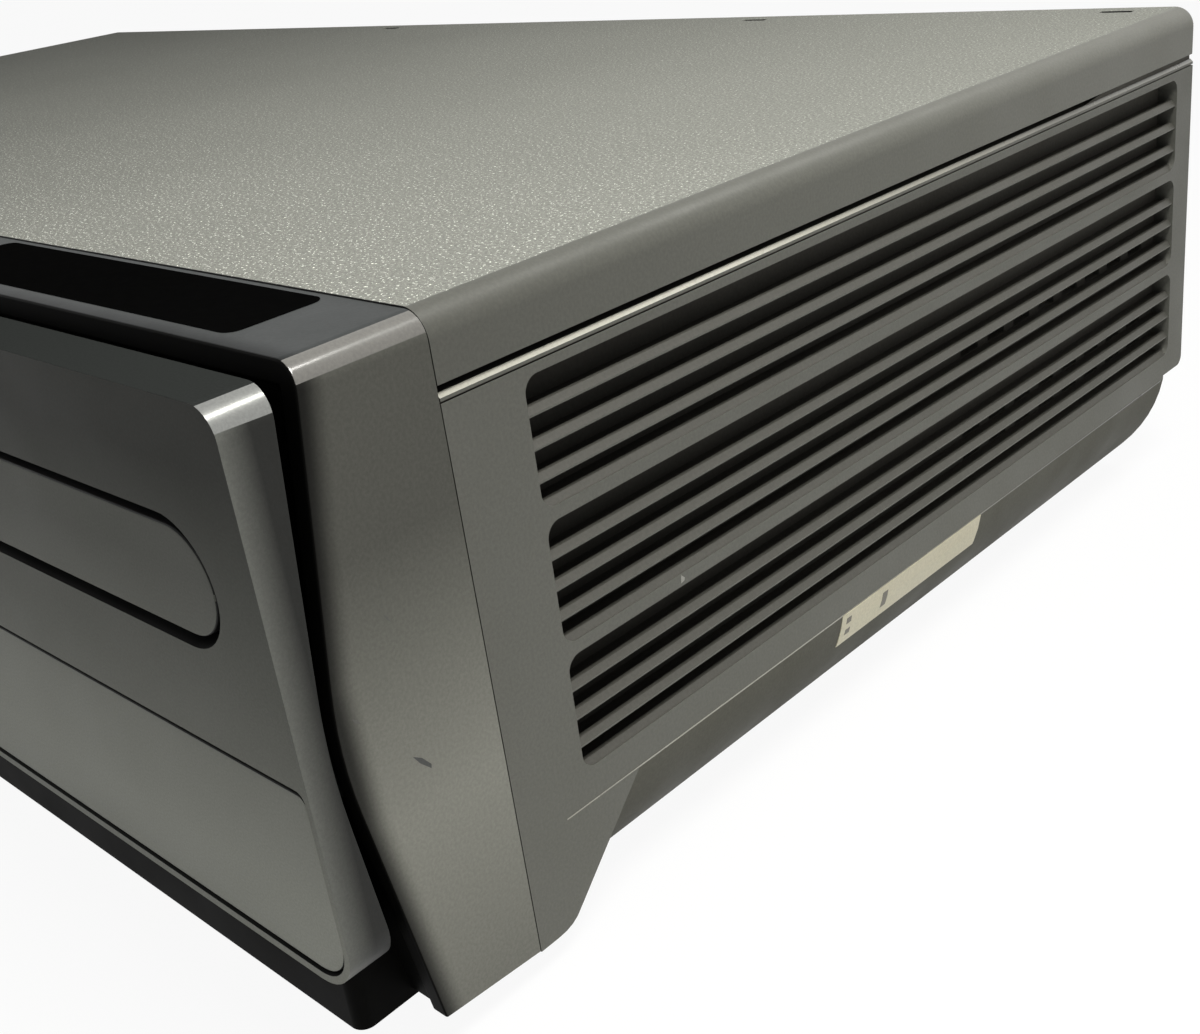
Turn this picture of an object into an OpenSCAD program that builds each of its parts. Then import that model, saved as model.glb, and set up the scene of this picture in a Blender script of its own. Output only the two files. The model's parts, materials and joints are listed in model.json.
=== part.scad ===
// DVD player and VHS recorder in one housing, with its disc loader and tape deck.
// Millimetres. +Z up, the front faces -Y. The origin is under the middle of the case, at the foot soles.

/* [Case] */
// Overall width
body_w = 435; // [425:1:470]
// Overall depth
body_d = 236.5; // [230:0.5:260]
// Overall height, on its feet
body_h = 99.5; // [98:0.5:110]
// Height of the rubber feet
foot_h = 4.5; // [3.5:0.5:8]
// Diameter of the rubber feet
foot_dia = 20; // [14:1:26]
// Wall of the plastic mouldings
wall = 2.5; // [2:0.1:3]
// Height of the cover's side skirt, down from the top
cover_skirt = 9.4; // [8:0.1:10.5]
// Gap between the cover and the lower cabinet
cover_gap = 1; // [0.6:0.1:1.4]
// Radius of the cover's rolled edge
cover_r = 4; // [3:0.5:4.5]
// Height of the crease where the side turns into the rolled foot
crease_h = 17.6; // [16:0.1:18.5]
// Drop from that crease to where the roll turns hardest
crease_roll = 9.6; // [7:0.1:11]
// Inward run of the rolled foot
bevel_run = 9; // [6:0.5:12]
// Overhang of the sides past the bottom of the back
back_step = 8.85; // [6:0.05:12]
// Height of that overhang above the case's underside
step_h = 18.4; // [17.5:0.1:20]

/* [Front] */
// Thickness of the fascia's rim at the top and the foot
fascia_t = 7.7; // [7:0.1:9]
// Thickness of the fascia's rim at the middle of its height
fascia_mid_t = 3.7; // [3.6:0.1:5]
// Thickness of the fascia's front plate
plate_t = 3.4; // [3:0.1:3.5]
// Radius of the fascia's upper corners, seen from the front
fascia_r = 4; // [3:0.5:5]
// Radius of the fascia's lower corners
fascia_foot_r = 8; // [5:0.5:9]
// Width of the groove between the fascia and the front frame, at the top
groove_w = 3.5; // [3:0.1:4]
// Length of the front frame's top band
band_d = 18.3; // [16:0.1:20]
// Wall of the front frame
frame_t = 3; // [2.6:0.1:3.2]
// Rise of the front frame's foot towards the front
frame_rise = 1.4; // [0:0.1:2]
// Step down from the band to the fascia's top
fascia_step = 1.3; // [0.8:0.1:2]
// Gap under the fascia, over the foot of the front
chin_h = 13.25; // [11:0.25:14]
// Height of the side's forward kink above the case's underside
kink_h = 47.3; // [44:0.1:52]
// How far the kink stands forward of the band's front edge
kink_out = 6.1; // [5:0.1:6.5]
// Thickness of the black inner frame
inner_t = 2.5; // [2:0.1:3]
// Set-back of its flange from the front frame's edge
flange_set = 1; // [0.5:0.1:2]

/* [Trim panel] */
// Height of the lower trim panel
panel_h = 29; // [28:0.1:30]
// Thickness of the lower trim panel
panel_t = 1.8; // [1.6:0.1:2]
// Gap round the lower trim panel
panel_gap = 0.4; // [0.2:0.05:0.5]
// Extra gap above it
panel_reveal = 0.55; // [0:0.05:0.8]
// Radius of the panel's lower corners
panel_r = 6.5; // [3:0.5:7]
// Width of a transport button
button_w = 13; // [10:0.5:15]
// Height of a transport button
button_h = 7; // [5:0.5:8]
// Travel of a button
button_travel = 0.8; // [0.4:0.1:0.8]
// Width of the display window
window_w = 88; // [70:1:92]
// Height of the display window
window_h = 17; // [12:0.5:20]

/* [Louvres] */
// Height of a louvred pocket
pocket_h = 18.3; // [16:0.1:18.6]
// Bar between two pockets
pocket_bar = 2; // [1.6:0.1:2.4]
// Depth of a pocket
pocket_depth = 4; // [3.5:0.1:5]
// Corner radius of a pocket
pocket_r = 2.4; // [1.5:0.1:3]
// Slots in a pocket, with a blade between each two
slot_count = 4; // [3:1:5]
// Thickness of a blade
blade_t = 0.7; // [0.6:0.1:1]
// Drop of a blade's sloping lip from its top to its outer edge
blade_drop = 0.9; // [0.6:0.05:1.2]
// Length of one through window behind the blades
vent_l = 6; // [4:0.5:7]
// Distance from one through window to the next
vent_pitch = 9.5; // [8:0.5:12]

/* [Disc loader] */
// Width of the tray's front
tray_front_w = 150; // [148:0.5:150]
// Height of the tray's slot in the fascia
tray_slot_h = 18; // [17:0.5:19]
// Gap above and below the tray's front
tray_reveal = 1.6; // [0.5:0.1:2]
// Travel of the tray
tray_travel = 130; // [90:5:130]
// Diameter of the disc well in the tray
disc_well_d = 121; // [120.5:0.1:122]
// Tooth size (module) of the tray's rack and pinion
tray_module = 1; // [1:0.1:1.1]
// Teeth of the tray's pinion
pinion_teeth = 18; // [15:1:20]
// Diameter of the turntable
turntable_d = 28; // [24:1:30]
// Travel of the laser pickup
sled_travel = 34; // [20:1:34]
// Diameter of the guide rods
rod_d = 3; // [2:0.5:3]
// Tooth size (module) of the pickup's rack and feed gear
feed_module = 0.8; // [0.7:0.1:0.8]
// Teeth of the feed gear
feed_teeth = 15; // [12:1:15]

/* [Tape deck] */
// Width of the cassette flap
flap_w = 200; // [195:1:202]
// Height of the cassette flap
flap_h = 33; // [30:0.5:34]
// Inward travel of the cassette holder
holder_travel = 55; // [30:1:58]
// Depth of the cassette holder
holder_d = 60; // [50:1:62]
// Diameter of the head drum
drum_d = 62; // [50:1:62]
// Lean of the head drum
drum_lean = 5; // [0:0.5:6]
// Diameter of the capstan's flywheel
flywheel_d = 52; // [36:1:56]
// Distance between the two reel tables
reel_pitch = 92; // [90:1:94]

/* [Fits] */
// Radial clearance of a turning shaft in its bore
run_gap = 0.05; // [0.02:0.01:0.08]
// Clearance between a sliding or swinging piece and its opening
slide_gap = 0.35; // [0.3:0.05:0.5]
// Clearance between two fixed mouldings
seam_gap = 0.3; // [0.2:0.05:0.4]
// Hairline joint between the front frame and the shells behind it
joint_gap = 0.1; // [0.1:0.05:0.3]

/* [Hidden] */
$fn = 48;
eps = 0.01;

// --- levels and planes of the case ---
side_x = body_w / 2;
front_y = -body_d / 2;
back_y = body_d / 2;
under_z = foot_h;
top_z = body_h;
cover_z = top_z - cover_skirt;
lip_z = cover_z - cover_gap;
crease_z = under_z + crease_h;
roll_z = crease_z + 3.9;
step_z = under_z + step_h;
panel_foot_z = step_z + 7.7;
frame_y = front_y + fascia_t + groove_w;
joint_y = frame_y + band_d;
cabinet_y = joint_y + joint_gap;
kink_z = under_z + kink_h;
kink_y = frame_y - kink_out;
band_top = top_z - 0.2;
fascia_top = band_top - fascia_step;
fascia_z = under_z + chin_h;
plate_y = front_y + plate_t;
floor_z = under_z + 0.5;
floor_top = floor_z + 2;
inner_x = side_x - 8.6;
inner_y = plate_y + 0.5;
inner_top = band_top - 4.3;
inner_back = frame_y + 6;
flange_x = side_x - frame_t - seam_gap;
flange_top = band_top - frame_t - seam_gap;
back_wall_y = back_y - back_step;
rear_y = back_wall_y - 2.2;
rear_t = 1.2;
rear_half = side_x - pocket_depth - 1.4 - seam_gap;

// --- trim panel and what shows in it ---
panel_z = fascia_z + 1.65;
panel_y = front_y + seam_gap;
panel_back = panel_y + panel_t;
panel_side = side_x - 1;
row_z = panel_z + panel_h / 2;
cap_gap = 0.25;
flange_t = 0.9;
board_y = front_y + 15;
board_t = 1.6;
// the row of controls is laid out from the left side
power_x = -side_x + 19.5;
jack_x = power_x + 21;
jack_pitch = 14;
transport_x = jack_x + 2 * jack_pitch + 23;
transport_pitch = 17;
channel_x = transport_x + 5 * transport_pitch;
channel_z = 5.2;
window_x = channel_x + 13 + window_w / 2;
disc_button_x = window_x + window_w / 2 + 14;
disc_button_pitch = 16;
controls_x0 = power_x - 8;
controls_x1 = disc_button_x + 2 * disc_button_pitch + 16;

// --- disc loader ---
loader_x = side_x - 84;
loader_half = 75.5;
slot_z = top_z - 26.15;
slot_r = tray_slot_h / 2;
tray_half = 66.5;
tray_z = slot_z - 5.35;
tray_top = slot_z + 2.65;
tray_y = front_y + 3.75;
tray_side_gap = 1;
disc_r = disc_well_d / 2;
spindle_y = tray_y + 6.5 + disc_r;
loader_y = inner_back + 2;
pinion_y = loader_y + 5;
tray_back = max(spindle_y + disc_r + 16, pinion_y + tray_travel + 7);
loader_z = slot_z - 25.35;
rack_x = loader_x - tray_half + 8;
pinion_r = tray_module * pinion_teeth / 2;
pinion_x = rack_x + pinion_r;
rack_z = tray_z - 2;
tray_hollow = 1.6;
deck_slot = 42;
traverse_z = slot_z - 13.35;
traverse_y = spindle_y - 20;
traverse_back = spindle_y + 86;
loader_back = traverse_back + 23.5;
traverse_half = 38;
rod_x = 24;
rod_z = traverse_z + 4;
rod_y = spindle_y + 7;
rod_l = sled_travel + 32;
sled_y = spindle_y + 22;
sled_half = 11;
feed_r = feed_module * feed_teeth / 2;
feed_rack_x = loader_x + rod_x + 6.2;
feed_x = feed_rack_x + feed_r;
feed_y = sled_y + sled_travel / 2;
bridge_z = tray_top + 3.5;

// --- tape deck ---
tape_x = -side_x + 113.5;
deck_z = under_z + 29.5;
deck_t = 1.2;
deck_top = deck_z + deck_t;
flap_z = top_z - 6.5;
flap_t = 2.5;
flap_y = front_y + 0.25;
hinge_y = front_y + 6.25;
hinge_z = flap_z - 1.8;
pin_r = 1.5;
holder_in = 94.75;
holder_out = 96;
holder_y = hinge_y + flap_h + 1.5;
holder_z = top_z - 41.5;
holder_top = holder_z + 28;
guide_z = holder_z + 14;
drop_h = 20;
frame_in = holder_out + 2.2;
drum_r = drum_d / 2;
drum_y = rear_y - drum_r - 1.7;
capstan_x = tape_x + 60;
capstan_y = drum_y - drum_r + 2;
reel_y = capstan_y - 65;
roller_r = 6.5;
roller_x = capstan_x - 12;
roller_y = capstan_y + 11;

// --- shared shapes ---
module rounded(w, h, r) { // a w by h rectangle with round corners, centred
    square([w - 2 * r, h], center = true);
    square([w, h - 2 * r], center = true);
    for (x = [-1, 1], y = [-1, 1])
        translate([x * (w / 2 - r), y * (h / 2 - r)]) circle(r);
}

module two_radii(w, h, top_r, foot_r) { // a rectangle with other corners at its foot, centred
    rounded(w, h, foot_r);
    translate([0, h / 4]) rounded(w, h / 2, top_r);
}

module box(lo, hi) { // a block from one corner to the other
    translate(lo) cube(hi - lo);
}

module mirrored() { // the children and their mirror image in x
    children();
    mirror([1, 0, 0]) children();
}

module along_y(y0, y1) { // an outline in x and z, carried from y0 to y1
    translate([0, y1, 0]) rotate([90, 0, 0]) linear_extrude(y1 - y0) children();
}

module along_x(x0, x1) { // an outline in y and z, carried from x0 to x1
    translate([x0, 0, 0]) rotate([90, 0, 90]) linear_extrude(x1 - x0) children();
}

module pin_y(r, y0, y1) { // a round bar along y
    translate([0, y1, 0]) rotate([90, 0, 0]) cylinder(r = r, h = y1 - y0);
}

module pin_x(r, x0, x1) { // a round bar along x
    translate([x0, 0, 0]) rotate([0, 90, 0]) cylinder(r = r, h = x1 - x0);
}

// polar angle that an involute gains from its base circle to radius r
function involute_deg(r, base) = r <= base ? 0 : tan(acos(base / r)) * 180 / PI - acos(base / r);
// half the angle of a tooth at radius r
function tooth_half(m, n, r, play) =
    90 / n - play / (m * n) * 180 / PI
    + involute_deg(m * n / 2, m * n / 2 * cos(20)) - involute_deg(r, m * n / 2 * cos(20));
function tooth_radii(m, n) = [m * n / 2 - 1.25 * m, m * n / 2 - 0.5 * m, m * n / 2,
                              m * n / 2 + 0.5 * m, m * n / 2 + 0.9 * m];

module gear_outline(m, n, play = 0.12) { // a spur gear with a space on its -x side when n is odd
    radii = tooth_radii(m, n);
    polygon([for (k = [0:n - 1]) each concat(
        [for (r = radii) let (a = 360 * k / n - tooth_half(m, n, r, play)) r * [cos(a), sin(a)]],
        [for (i = [len(radii) - 1:-1:0])
            let (r = radii[i], a = 360 * k / n + tooth_half(m, n, r, play)) r * [cos(a), sin(a)]])]);
}

module rack_outline(m, y0, y1, back, play = 0.12) { // teeth point to +x, one of them at y = 0
    half = PI * m / 4 - play;
    foot = half + 1.25 * m * tan(20);
    tip = half - 0.9 * m * tan(20);
    translate([-1.25 * m - back, y0]) square([back + eps, y1 - y0]);
    for (k = [ceil((y0 + foot) / (PI * m)):floor((y1 - foot) / (PI * m))])
        translate([0, k * PI * m])
            polygon([[-1.25 * m, -foot], [0.9 * m, -tip], [0.9 * m, tip], [-1.25 * m, foot]]);
}

// --- front of the case ---
// front edge of a wing: two straight stretches that meet in a rounded kink
kink_steps = 6;
kink_blend = 9;
function bend(a, b, c, s) = (1 - s) * (1 - s) * a + 2 * s * (1 - s) * b + s * s * c;
function toward(p, q, d) = p + (q - p) / norm(q - p) * d;
function kinked(top, mid, foot, blend) = concat(
    [top],
    [for (i = [0:kink_steps])
        bend(toward(mid, top, blend), mid, toward(mid, foot, blend), i / kink_steps)],
    [foot]);
wing_top = [frame_y, band_top + 1];
wing_mid = [kink_y, kink_z];
wing_foot = [frame_y + 0.8, under_z + frame_rise];
rim_top = [front_y + fascia_t, fascia_top + 1];
rim_mid = [front_y + fascia_mid_t, kink_z];
rim_foot = [front_y + fascia_t - 0.4, fascia_z - 1];

module wing_profile(inset = 0) {
    polygon(concat([[joint_y + eps * inset, band_top + 1]],
        [for (p = kinked(wing_top, wing_mid, wing_foot, kink_blend)) p + [inset, 0]],
        [[joint_y + eps * inset, under_z]]));
}

module front_frame() { // a top and two sides, open at the front, the back and the foot
    frame_r = 3.5;
    color([0.42, 0.42, 0.41]) difference() {
        intersection() {
            along_x(-side_x, side_x) wing_profile();
            along_y(front_y, joint_y) translate([0, (under_z + band_top) / 2 - 5])
                rounded(body_w, band_top - under_z + 10, frame_r);
        }
        box([-side_x + frame_t, front_y - 1, under_z - 1],
            [side_x - frame_t, joint_y + 1, band_top - frame_t]);
    }
}

module inner_flange() { // dark return that closes the groove behind the fascia
    difference() {
        intersection() {
            along_x(-flange_x, flange_x) difference() {
                wing_profile(flange_set);
                wing_profile(flange_set + inner_t);
            }
            box([-flange_x - 1, front_y, under_z], [flange_x + 1, inner_back, flange_top]);
        }
        box([-inner_x + 1, front_y - 1, under_z - 1], [inner_x - 1, joint_y, inner_top - 1]);
    }
}

module inner_frame() {
    depth = inner_back - inner_y;
    front_r = 2.2;
    color([0.04, 0.04, 0.045]) difference() {
        union() {
            difference() {
                translate([0, (inner_y + inner_back) / 2, under_z]) linear_extrude(inner_top - under_z) {
                    rounded(2 * inner_x, depth, front_r);
                    translate([0, depth / 4]) square([2 * inner_x, depth / 2], center = true);
                }
                box([-inner_x + 2, inner_y + inner_t, under_z + 2],
                    [inner_x - 2, inner_back + 1, inner_top - 2]);
            }
            inner_flange();
            // bearings of the cassette flap
            for (s = [-1, 1])
                box([flap_bearing(s) - 1.5, inner_y + 0.5, hinge_z - 3.5],
                    [flap_bearing(s) + 1.5, hinge_y + 3.2, hinge_z + 3.5]);
        }
        for (s = [-1, 1]) translate([0, hinge_y, hinge_z])
            pin_x(pin_r + run_gap, flap_bearing(s) - (s < 0 ? 1.4 : 3),
                  flap_bearing(s) + (s < 0 ? 3 : 1.4));
        // cassette, tray and control openings
        box([tape_x - flap_w / 2 - slide_gap, inner_y - 1, flap_z - flap_h - 1.2],
            [tape_x + flap_w / 2 + slide_gap, inner_y + inner_t + 4, flap_z + slide_gap]);
        box([loader_x - 73, inner_y - 1, slot_z - 8], [loader_x + 73, inner_y + 4, slot_z + 7]);
        box([controls_x0, inner_y - 1, panel_z + 1], [controls_x1, inner_y + 4, panel_z + panel_h - 1]);
    }
}

function flap_bearing(side) = tape_x + side * (flap_w / 2 + 1.9);

module tray_slot_outline(shrink_h = 0, shrink_w = 0) { // a slot with round ends
    r = slot_r - shrink_h;
    rounded(tray_front_w - 2 * shrink_w, 2 * r, r - eps);
}

module fascia() {
    color([0.44, 0.45, 0.46]) difference() {
        intersection() {
            along_x(-side_x, side_x) polygon(concat([[front_y, fascia_top + 1]],
                kinked(rim_top, rim_mid, rim_foot, kink_blend), [[front_y, fascia_z - 1]]));
            along_y(front_y - 1, joint_y) translate([0, (fascia_z + fascia_top) / 2])
                two_radii(body_w, fascia_top - fascia_z, fascia_r, fascia_foot_r);
        }
        // hollow behind the plate
        box([-inner_x - slide_gap, plate_y, under_z],
            [inner_x + slide_gap, joint_y, inner_top + slide_gap]);
        // tray slot
        along_y(front_y - 1, plate_y + 1) translate([loader_x, slot_z]) tray_slot_outline();
        // cassette opening
        along_y(front_y - 1, plate_y + 1) translate([tape_x, flap_z - flap_h / 2])
            rounded(flap_w + 2 * slide_gap, flap_h + 2 * slide_gap, 1.5);
        // recess for the trim panel
        along_y(front_y - 1, panel_back) for (rise = [0, panel_reveal])
            translate([0, row_z + rise]) panel_outline(panel_gap);
        panel_holes(panel_back - 1, plate_y + 1, 0.4);
    }
}

module panel_outline(grow = 0) { // lower trim panel, with larger corners at its foot
    two_radii(2 * (panel_side - panel_gap + grow), panel_h + 2 * grow, 1.4, panel_r + grow);
}

// outlines of the push buttons: [x, z, width, height]
transport_caps = [for (i = [0:4]) [transport_x + i * transport_pitch, row_z, button_w, button_h]];
channel_caps = [for (s = [1, -1]) [channel_x, row_z + s * channel_z, 10, 6]];
disc_caps = [for (i = [0:2])
    [disc_button_x + i * disc_button_pitch, row_z, button_w - 1, button_h]];
power_cap = [power_x, row_z, 12, 12];
caps = concat([power_cap], transport_caps, channel_caps, disc_caps);

module cap_outline(c, grow = 0) {
    translate([c[0], c[1]]) rounded(c[2] + 2 * grow, c[3] + 2 * grow, c[3] / 2 + grow - eps);
}

module panel_holes(y0, y1, grow = 0) {
    for (c = caps) along_y(y0, y1) cap_outline(c, cap_gap + grow);
    along_y(y0, y1) translate([window_x, row_z]) rounded(window_w + 2 * grow, window_h + 2 * grow, 1.5);
    for (i = [0:2]) translate([jack_x + i * jack_pitch, 0, row_z]) pin_y(5.4 + grow, y0, y1);
}

module trim_panel() {
    color([0.40, 0.41, 0.42]) difference() {
        along_y(panel_y, panel_back - 0.05) translate([0, row_z]) panel_outline();
        panel_holes(panel_y - 1, panel_back + 1);
    }
}

module display_window() {
    color([0.05, 0.06, 0.07, 0.6])
        along_y(panel_y + 0.15, panel_y + 1.75)
            translate([window_x, row_z]) rounded(window_w - 0.3, window_h - 0.3, 1.4);
}

module display_tube() {
    color([0.1, 0.2, 0.2]) {
        box([window_x - window_w / 2 + 4, board_y - 7, row_z - window_h / 2 + 1],
            [window_x + window_w / 2 - 4, board_y, row_z + window_h / 2 - 1]);
    }
}

module push_button(c, dome = 0.3) { // cap with a rolled face, a flange behind the plate and a stem
    color([0.32, 0.33, 0.34]) {
        along_y(panel_y - dome + 0.3, plate_y + 0.6) cap_outline(c);
        along_y(panel_y - dome, panel_y) cap_outline(c, -0.5);
        along_y(plate_y + slide_gap, plate_y + slide_gap + flange_t) cap_outline(c, 1);
        translate([c[0], 0, c[1]]) pin_y(1.6, plate_y, board_y - 4.4);
    }
}

module cassette_flap() {
    color([0.41, 0.42, 0.43]) {
        difference() {
            along_y(flap_y, flap_y + flap_t) translate([tape_x, flap_z - flap_h / 2 + 0.15])
                rounded(flap_w, flap_h - 0.3, 1.2);
            // stiffening field on the inside
            along_y(flap_y + flap_t - 0.8, flap_y + flap_t + 1)
                translate([tape_x, flap_z - flap_h / 2 - 2]) rounded(flap_w - 24, flap_h - 12, 2);
        }
        for (side = [-1, 1]) {
            x0 = tape_x + side * (flap_w / 2 - 1.4);
            box([x0 - 1, flap_y + flap_t - eps, hinge_z - 2.5], [x0 + 1, hinge_y, hinge_z + 1.8]);
            translate([0, hinge_y, hinge_z]) {
                pin_x(1.8, x0 - 1, x0 + 1);
                pin_x(pin_r, min(x0, x0 + side * 4.6), max(x0, x0 + side * 4.6));
            }
        }
    }
}

// --- shells ---
rib_pitch = 80;
notch_pitch = 150;

module top_cover() {
    h = cover_skirt;
    color([0.50, 0.50, 0.49]) difference() {
        union() {
            difference() {
                along_y(cabinet_y, back_y) translate([0, top_z - h])
                    rounded(body_w, 2 * h, cover_r);
                along_y(cabinet_y - 1, back_y - 2) translate([0, top_z - h - 2])
                    rounded(body_w - 4, 2 * h, cover_r - 2);
            }
            // stiffening ribs under the top
            for (i = [-1.5:1:1.5])
                box([i * rib_pitch - 0.75, joint_y + 12, top_z - 4],
                    [i * rib_pitch + 0.75, back_y - 12, top_z - 1.5]);
        }
        box([-side_x - 1, front_y, cover_z - 3 * h], [side_x + 1, back_y + 1, cover_z]);
        // screw notches in the back edge
        for (i = [-1:1]) translate([i * notch_pitch, back_y + 1, top_z - 5])
            rotate([90, 0, 0]) cylinder(r = 3.4, h = 1.8);
        // narrow slots along the back edge
        for (x = [side_x - 14.1, side_x - 108.5, side_x - 252.5])
            box([x - 3.5, back_y - 6.4, top_z - 3], [x + 3.5, back_y - 4.6, top_z + 1]);
    }
}

pocket_y0 = cabinet_y + 13.3;
pocket_y1 = back_y - 7;
pocket_pitch = pocket_h + pocket_bar;
pocket_top = lip_z - 2.7;
pocket_x = side_x - pocket_depth;
slot_pitch = pocket_h / slot_count;
vent_count = floor((pocket_y1 - 34) / vent_pitch);

module cabinet_section(t) { // cross-section of the tub, t inside its outer face
    roll = [for (i = [0:6]) bend([side_x - t, crease_z + 0.1 * t],
                                 [side_x - 1.7 - t, crease_z - crease_roll + 0.4 * t],
                                 [side_x - bevel_run - 0.8 * t, floor_z + 0.8 * t], i / 6)];
    right = concat([[side_x - t, lip_z + t]], roll);
    last = len(right) - 1;
    polygon(concat(right, [for (i = [0:last]) [-right[last - i][0], right[last - i][1]]]));
}

module pocket_cut(z_top) {
    translate([side_x + 1, (pocket_y0 + pocket_y1) / 2, z_top - pocket_h / 2])
        rotate([0, -90, 0]) linear_extrude(pocket_depth + 1)
            rounded(pocket_h, pocket_y1 - pocket_y0, pocket_r);
}

blade_edge = 0.3;
lip_run = 0.65;

module blade(z, edge = blade_edge) { // a flat blade with a sloping lip, its outer edge just inside the side
    face_x = side_x - blade_edge;
    lip_top = z + edge + blade_drop;
    translate([0, pocket_y1 + eps, 0]) rotate([90, 0, 0]) linear_extrude(pocket_y1 - pocket_y0 + 2 * eps)
        polygon([[face_x, z], [face_x, z + edge], [face_x - lip_run, lip_top],
                 [face_x - lip_run - blade_t, lip_top], [face_x - lip_run - blade_t - 0.2, z + blade_t],
                 [pocket_x - eps, z + blade_t], [pocket_x - eps, z]]);
}

module side_louvres() { // the solid parts of one side
    for (k = [0:2]) {
        z_top = pocket_top - k * pocket_pitch;
        for (i = [1:slot_count - 1]) blade(z_top - (i + 0.2) * slot_pitch);
        // the lowest lip rises from the foot of the pocket
        blade(z_top - pocket_h - eps, 2 * eps);
    }
}

module side_vents() { // rows of through windows behind the rear of the blades
    for (row = [[1, 3], [2, 2], [2, 3]], i = [0:vent_count - 1]) {
        z = pocket_top - row[0] * pocket_pitch - row[1] * slot_pitch;
        box([pocket_x - 6, pocket_y1 - 6 - vent_l - i * vent_pitch, z - 0.1],
            [pocket_x + 0.5, pocket_y1 - 6 - i * vent_pitch, z + 1.5]);
    }
}

step_r = 2;

module lower_cabinet() {
    skirt_y = cabinet_y + 6.6;
    color([0.48, 0.48, 0.47]) {
        difference() {
            union() {
                difference() {
                    along_y(cabinet_y, back_y) cabinet_section(0);
                    along_y(cabinet_y - 1, back_wall_y - 2) cabinet_section(wall);
                    // the foot of the back steps forward
                    box([-side_x - 1, back_wall_y, 0], [side_x + 1, back_y + 1, step_z]);
                    // above the step the back is open, for the rear panel
                    box([-side_x + wall, back_wall_y - 3, panel_foot_z],
                        [side_x - wall, back_y + 1, top_z]);
                    box([-side_x + wall, back_wall_y, step_z - 1], [side_x - wall, back_y + 1, top_z]);
                }
                // floor under the front frames
                box([-inner_x, inner_back + seam_gap, floor_z], [inner_x, cabinet_y + 1, floor_z + 2]);
                // backs of the louvred pockets
                mirrored() box([pocket_x - 1.4, cabinet_y, roll_z - 1.4],
                               [side_x - 0.5, back_y - 2, lip_z - 1.6]);
                // front skirt, down to the underside
                mirrored() along_x(side_x - wall, side_x)
                    polygon(concat([[cabinet_y, roll_z], [cabinet_y, under_z]],
                        [for (i = [0:4]) bend([skirt_y - 3, under_z], [skirt_y + 0.3, under_z],
                                              [skirt_y + 1.9, under_z + 2], i / 4)],
                        [[skirt_y + 1.9 + (roll_z - under_z - 2), roll_z]]));
                // bosses of the deck and loader posts
                for (p = post_points) translate([p[0], p[1], floor_z + 1]) cylinder(r = 4, h = p[2]);
            }
            mirrored() for (k = [0:2]) pocket_cut(pocket_top - k * pocket_pitch);
            mirrored() side_vents();
            // reveal under the lip
            mirrored() box([side_x - 0.4, cabinet_y - 1, lip_z - 1.25], [side_x + 1, back_y + 1, lip_z - 1]);
            mirrored() translate([side_x, 0, lip_z]) rotate([0, 45, 0])
                cube([0.8, 3 * body_d, 0.8], center = true);
            // rounded rear corner of the side
            mirrored() along_x(side_x - 6, side_x + 1) difference() {
                translate([back_y - step_r, step_z - 1]) square([step_r + 1, step_r + 1]);
                translate([back_y - step_r, step_z + step_r]) circle(step_r);
            }
        }
        mirrored() side_louvres();
    }
}

// posts that carry the tape deck and the disc loader: [x, y, height above the floor's middle]
deck_posts = [for (x = [tape_x - 88, tape_x + 92], y = [holder_y + 1.5, rear_y - 9.2])
    [x, y, deck_z - floor_z - 1]];
loader_posts = [for (x = [-1, 1], y = [loader_y + 8, loader_back - 6])
    [loader_x + x * (loader_half - 5), y, loader_z - floor_z - 1]];
post_points = concat(deck_posts, loader_posts);

module feet() {
    color([0.06, 0.06, 0.06]) for (x = [-1, 1], y = [front_y + 32, back_y - 30])
        translate([x * (side_x - 38), y, 0]) rotate_extrude() polygon([
            [0, 1], [foot_dia / 2 - 4, 1], [foot_dia / 2 - 3, 0], [foot_dia / 2 - 0.8, 0],
            [foot_dia / 2, 0.8], [foot_dia / 2, floor_z - 0.6], [foot_dia / 2 - 0.8, floor_z], [0, floor_z]]);
}

module screw_head(r = 3, h = 1.6) { // pan head with a cross recess, looking along -z
    difference() {
        union() {
            cylinder(r1 = r, r2 = r * 0.72, h = h);
            translate([0, 0, -3]) cylinder(r = r / 2, h = 3.1);
        }
        for (a = [0, 90]) rotate([0, 0, a]) translate([-r * 0.5, -0.3, h - 0.8]) cube([r, 0.6, 1]);
    }
}

// sockets on the back: [x, z] of the jacks, pairs of in and out
gland_x = side_x - 39.5;
deck_side = tape_x + 99;
// the sockets share what lies between the tape deck and the cord
rear_free = gland_x - deck_side;
aerial_x = deck_side + 27 / 183 * rear_free;
rear_jack_x = deck_side + 83 / 183 * rear_free;
rear_jack_pitch = 16;
rear_jack_z = under_z + 37.5;
rear_jack_row = 17;
aerial_z = [under_z + 35.5, under_z + 57.5];
gland_z = under_z + 35.5;
gland_r = 6;
rear_screw_x = [-rear_half + 21.8, -rear_half + 171.8, rear_half - 66.8, rear_half - 15.8];
rear_screw_z = top_z - 19.5;
rear_slot_top = top_z - 25.5;
rear_slot_pitch = 9;

module case_screws() {
    color([0.55, 0.55, 0.56]) for (x = rear_screw_x)
        translate([x, rear_y + rear_t, rear_screw_z]) rotate([-90, 0, 0]) screw_head();
}

module cooling_slot(x, h) {
    box([x, rear_y - 1, rear_slot_top - h], [x + 4, rear_y + 2, rear_slot_top]);
}

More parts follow.
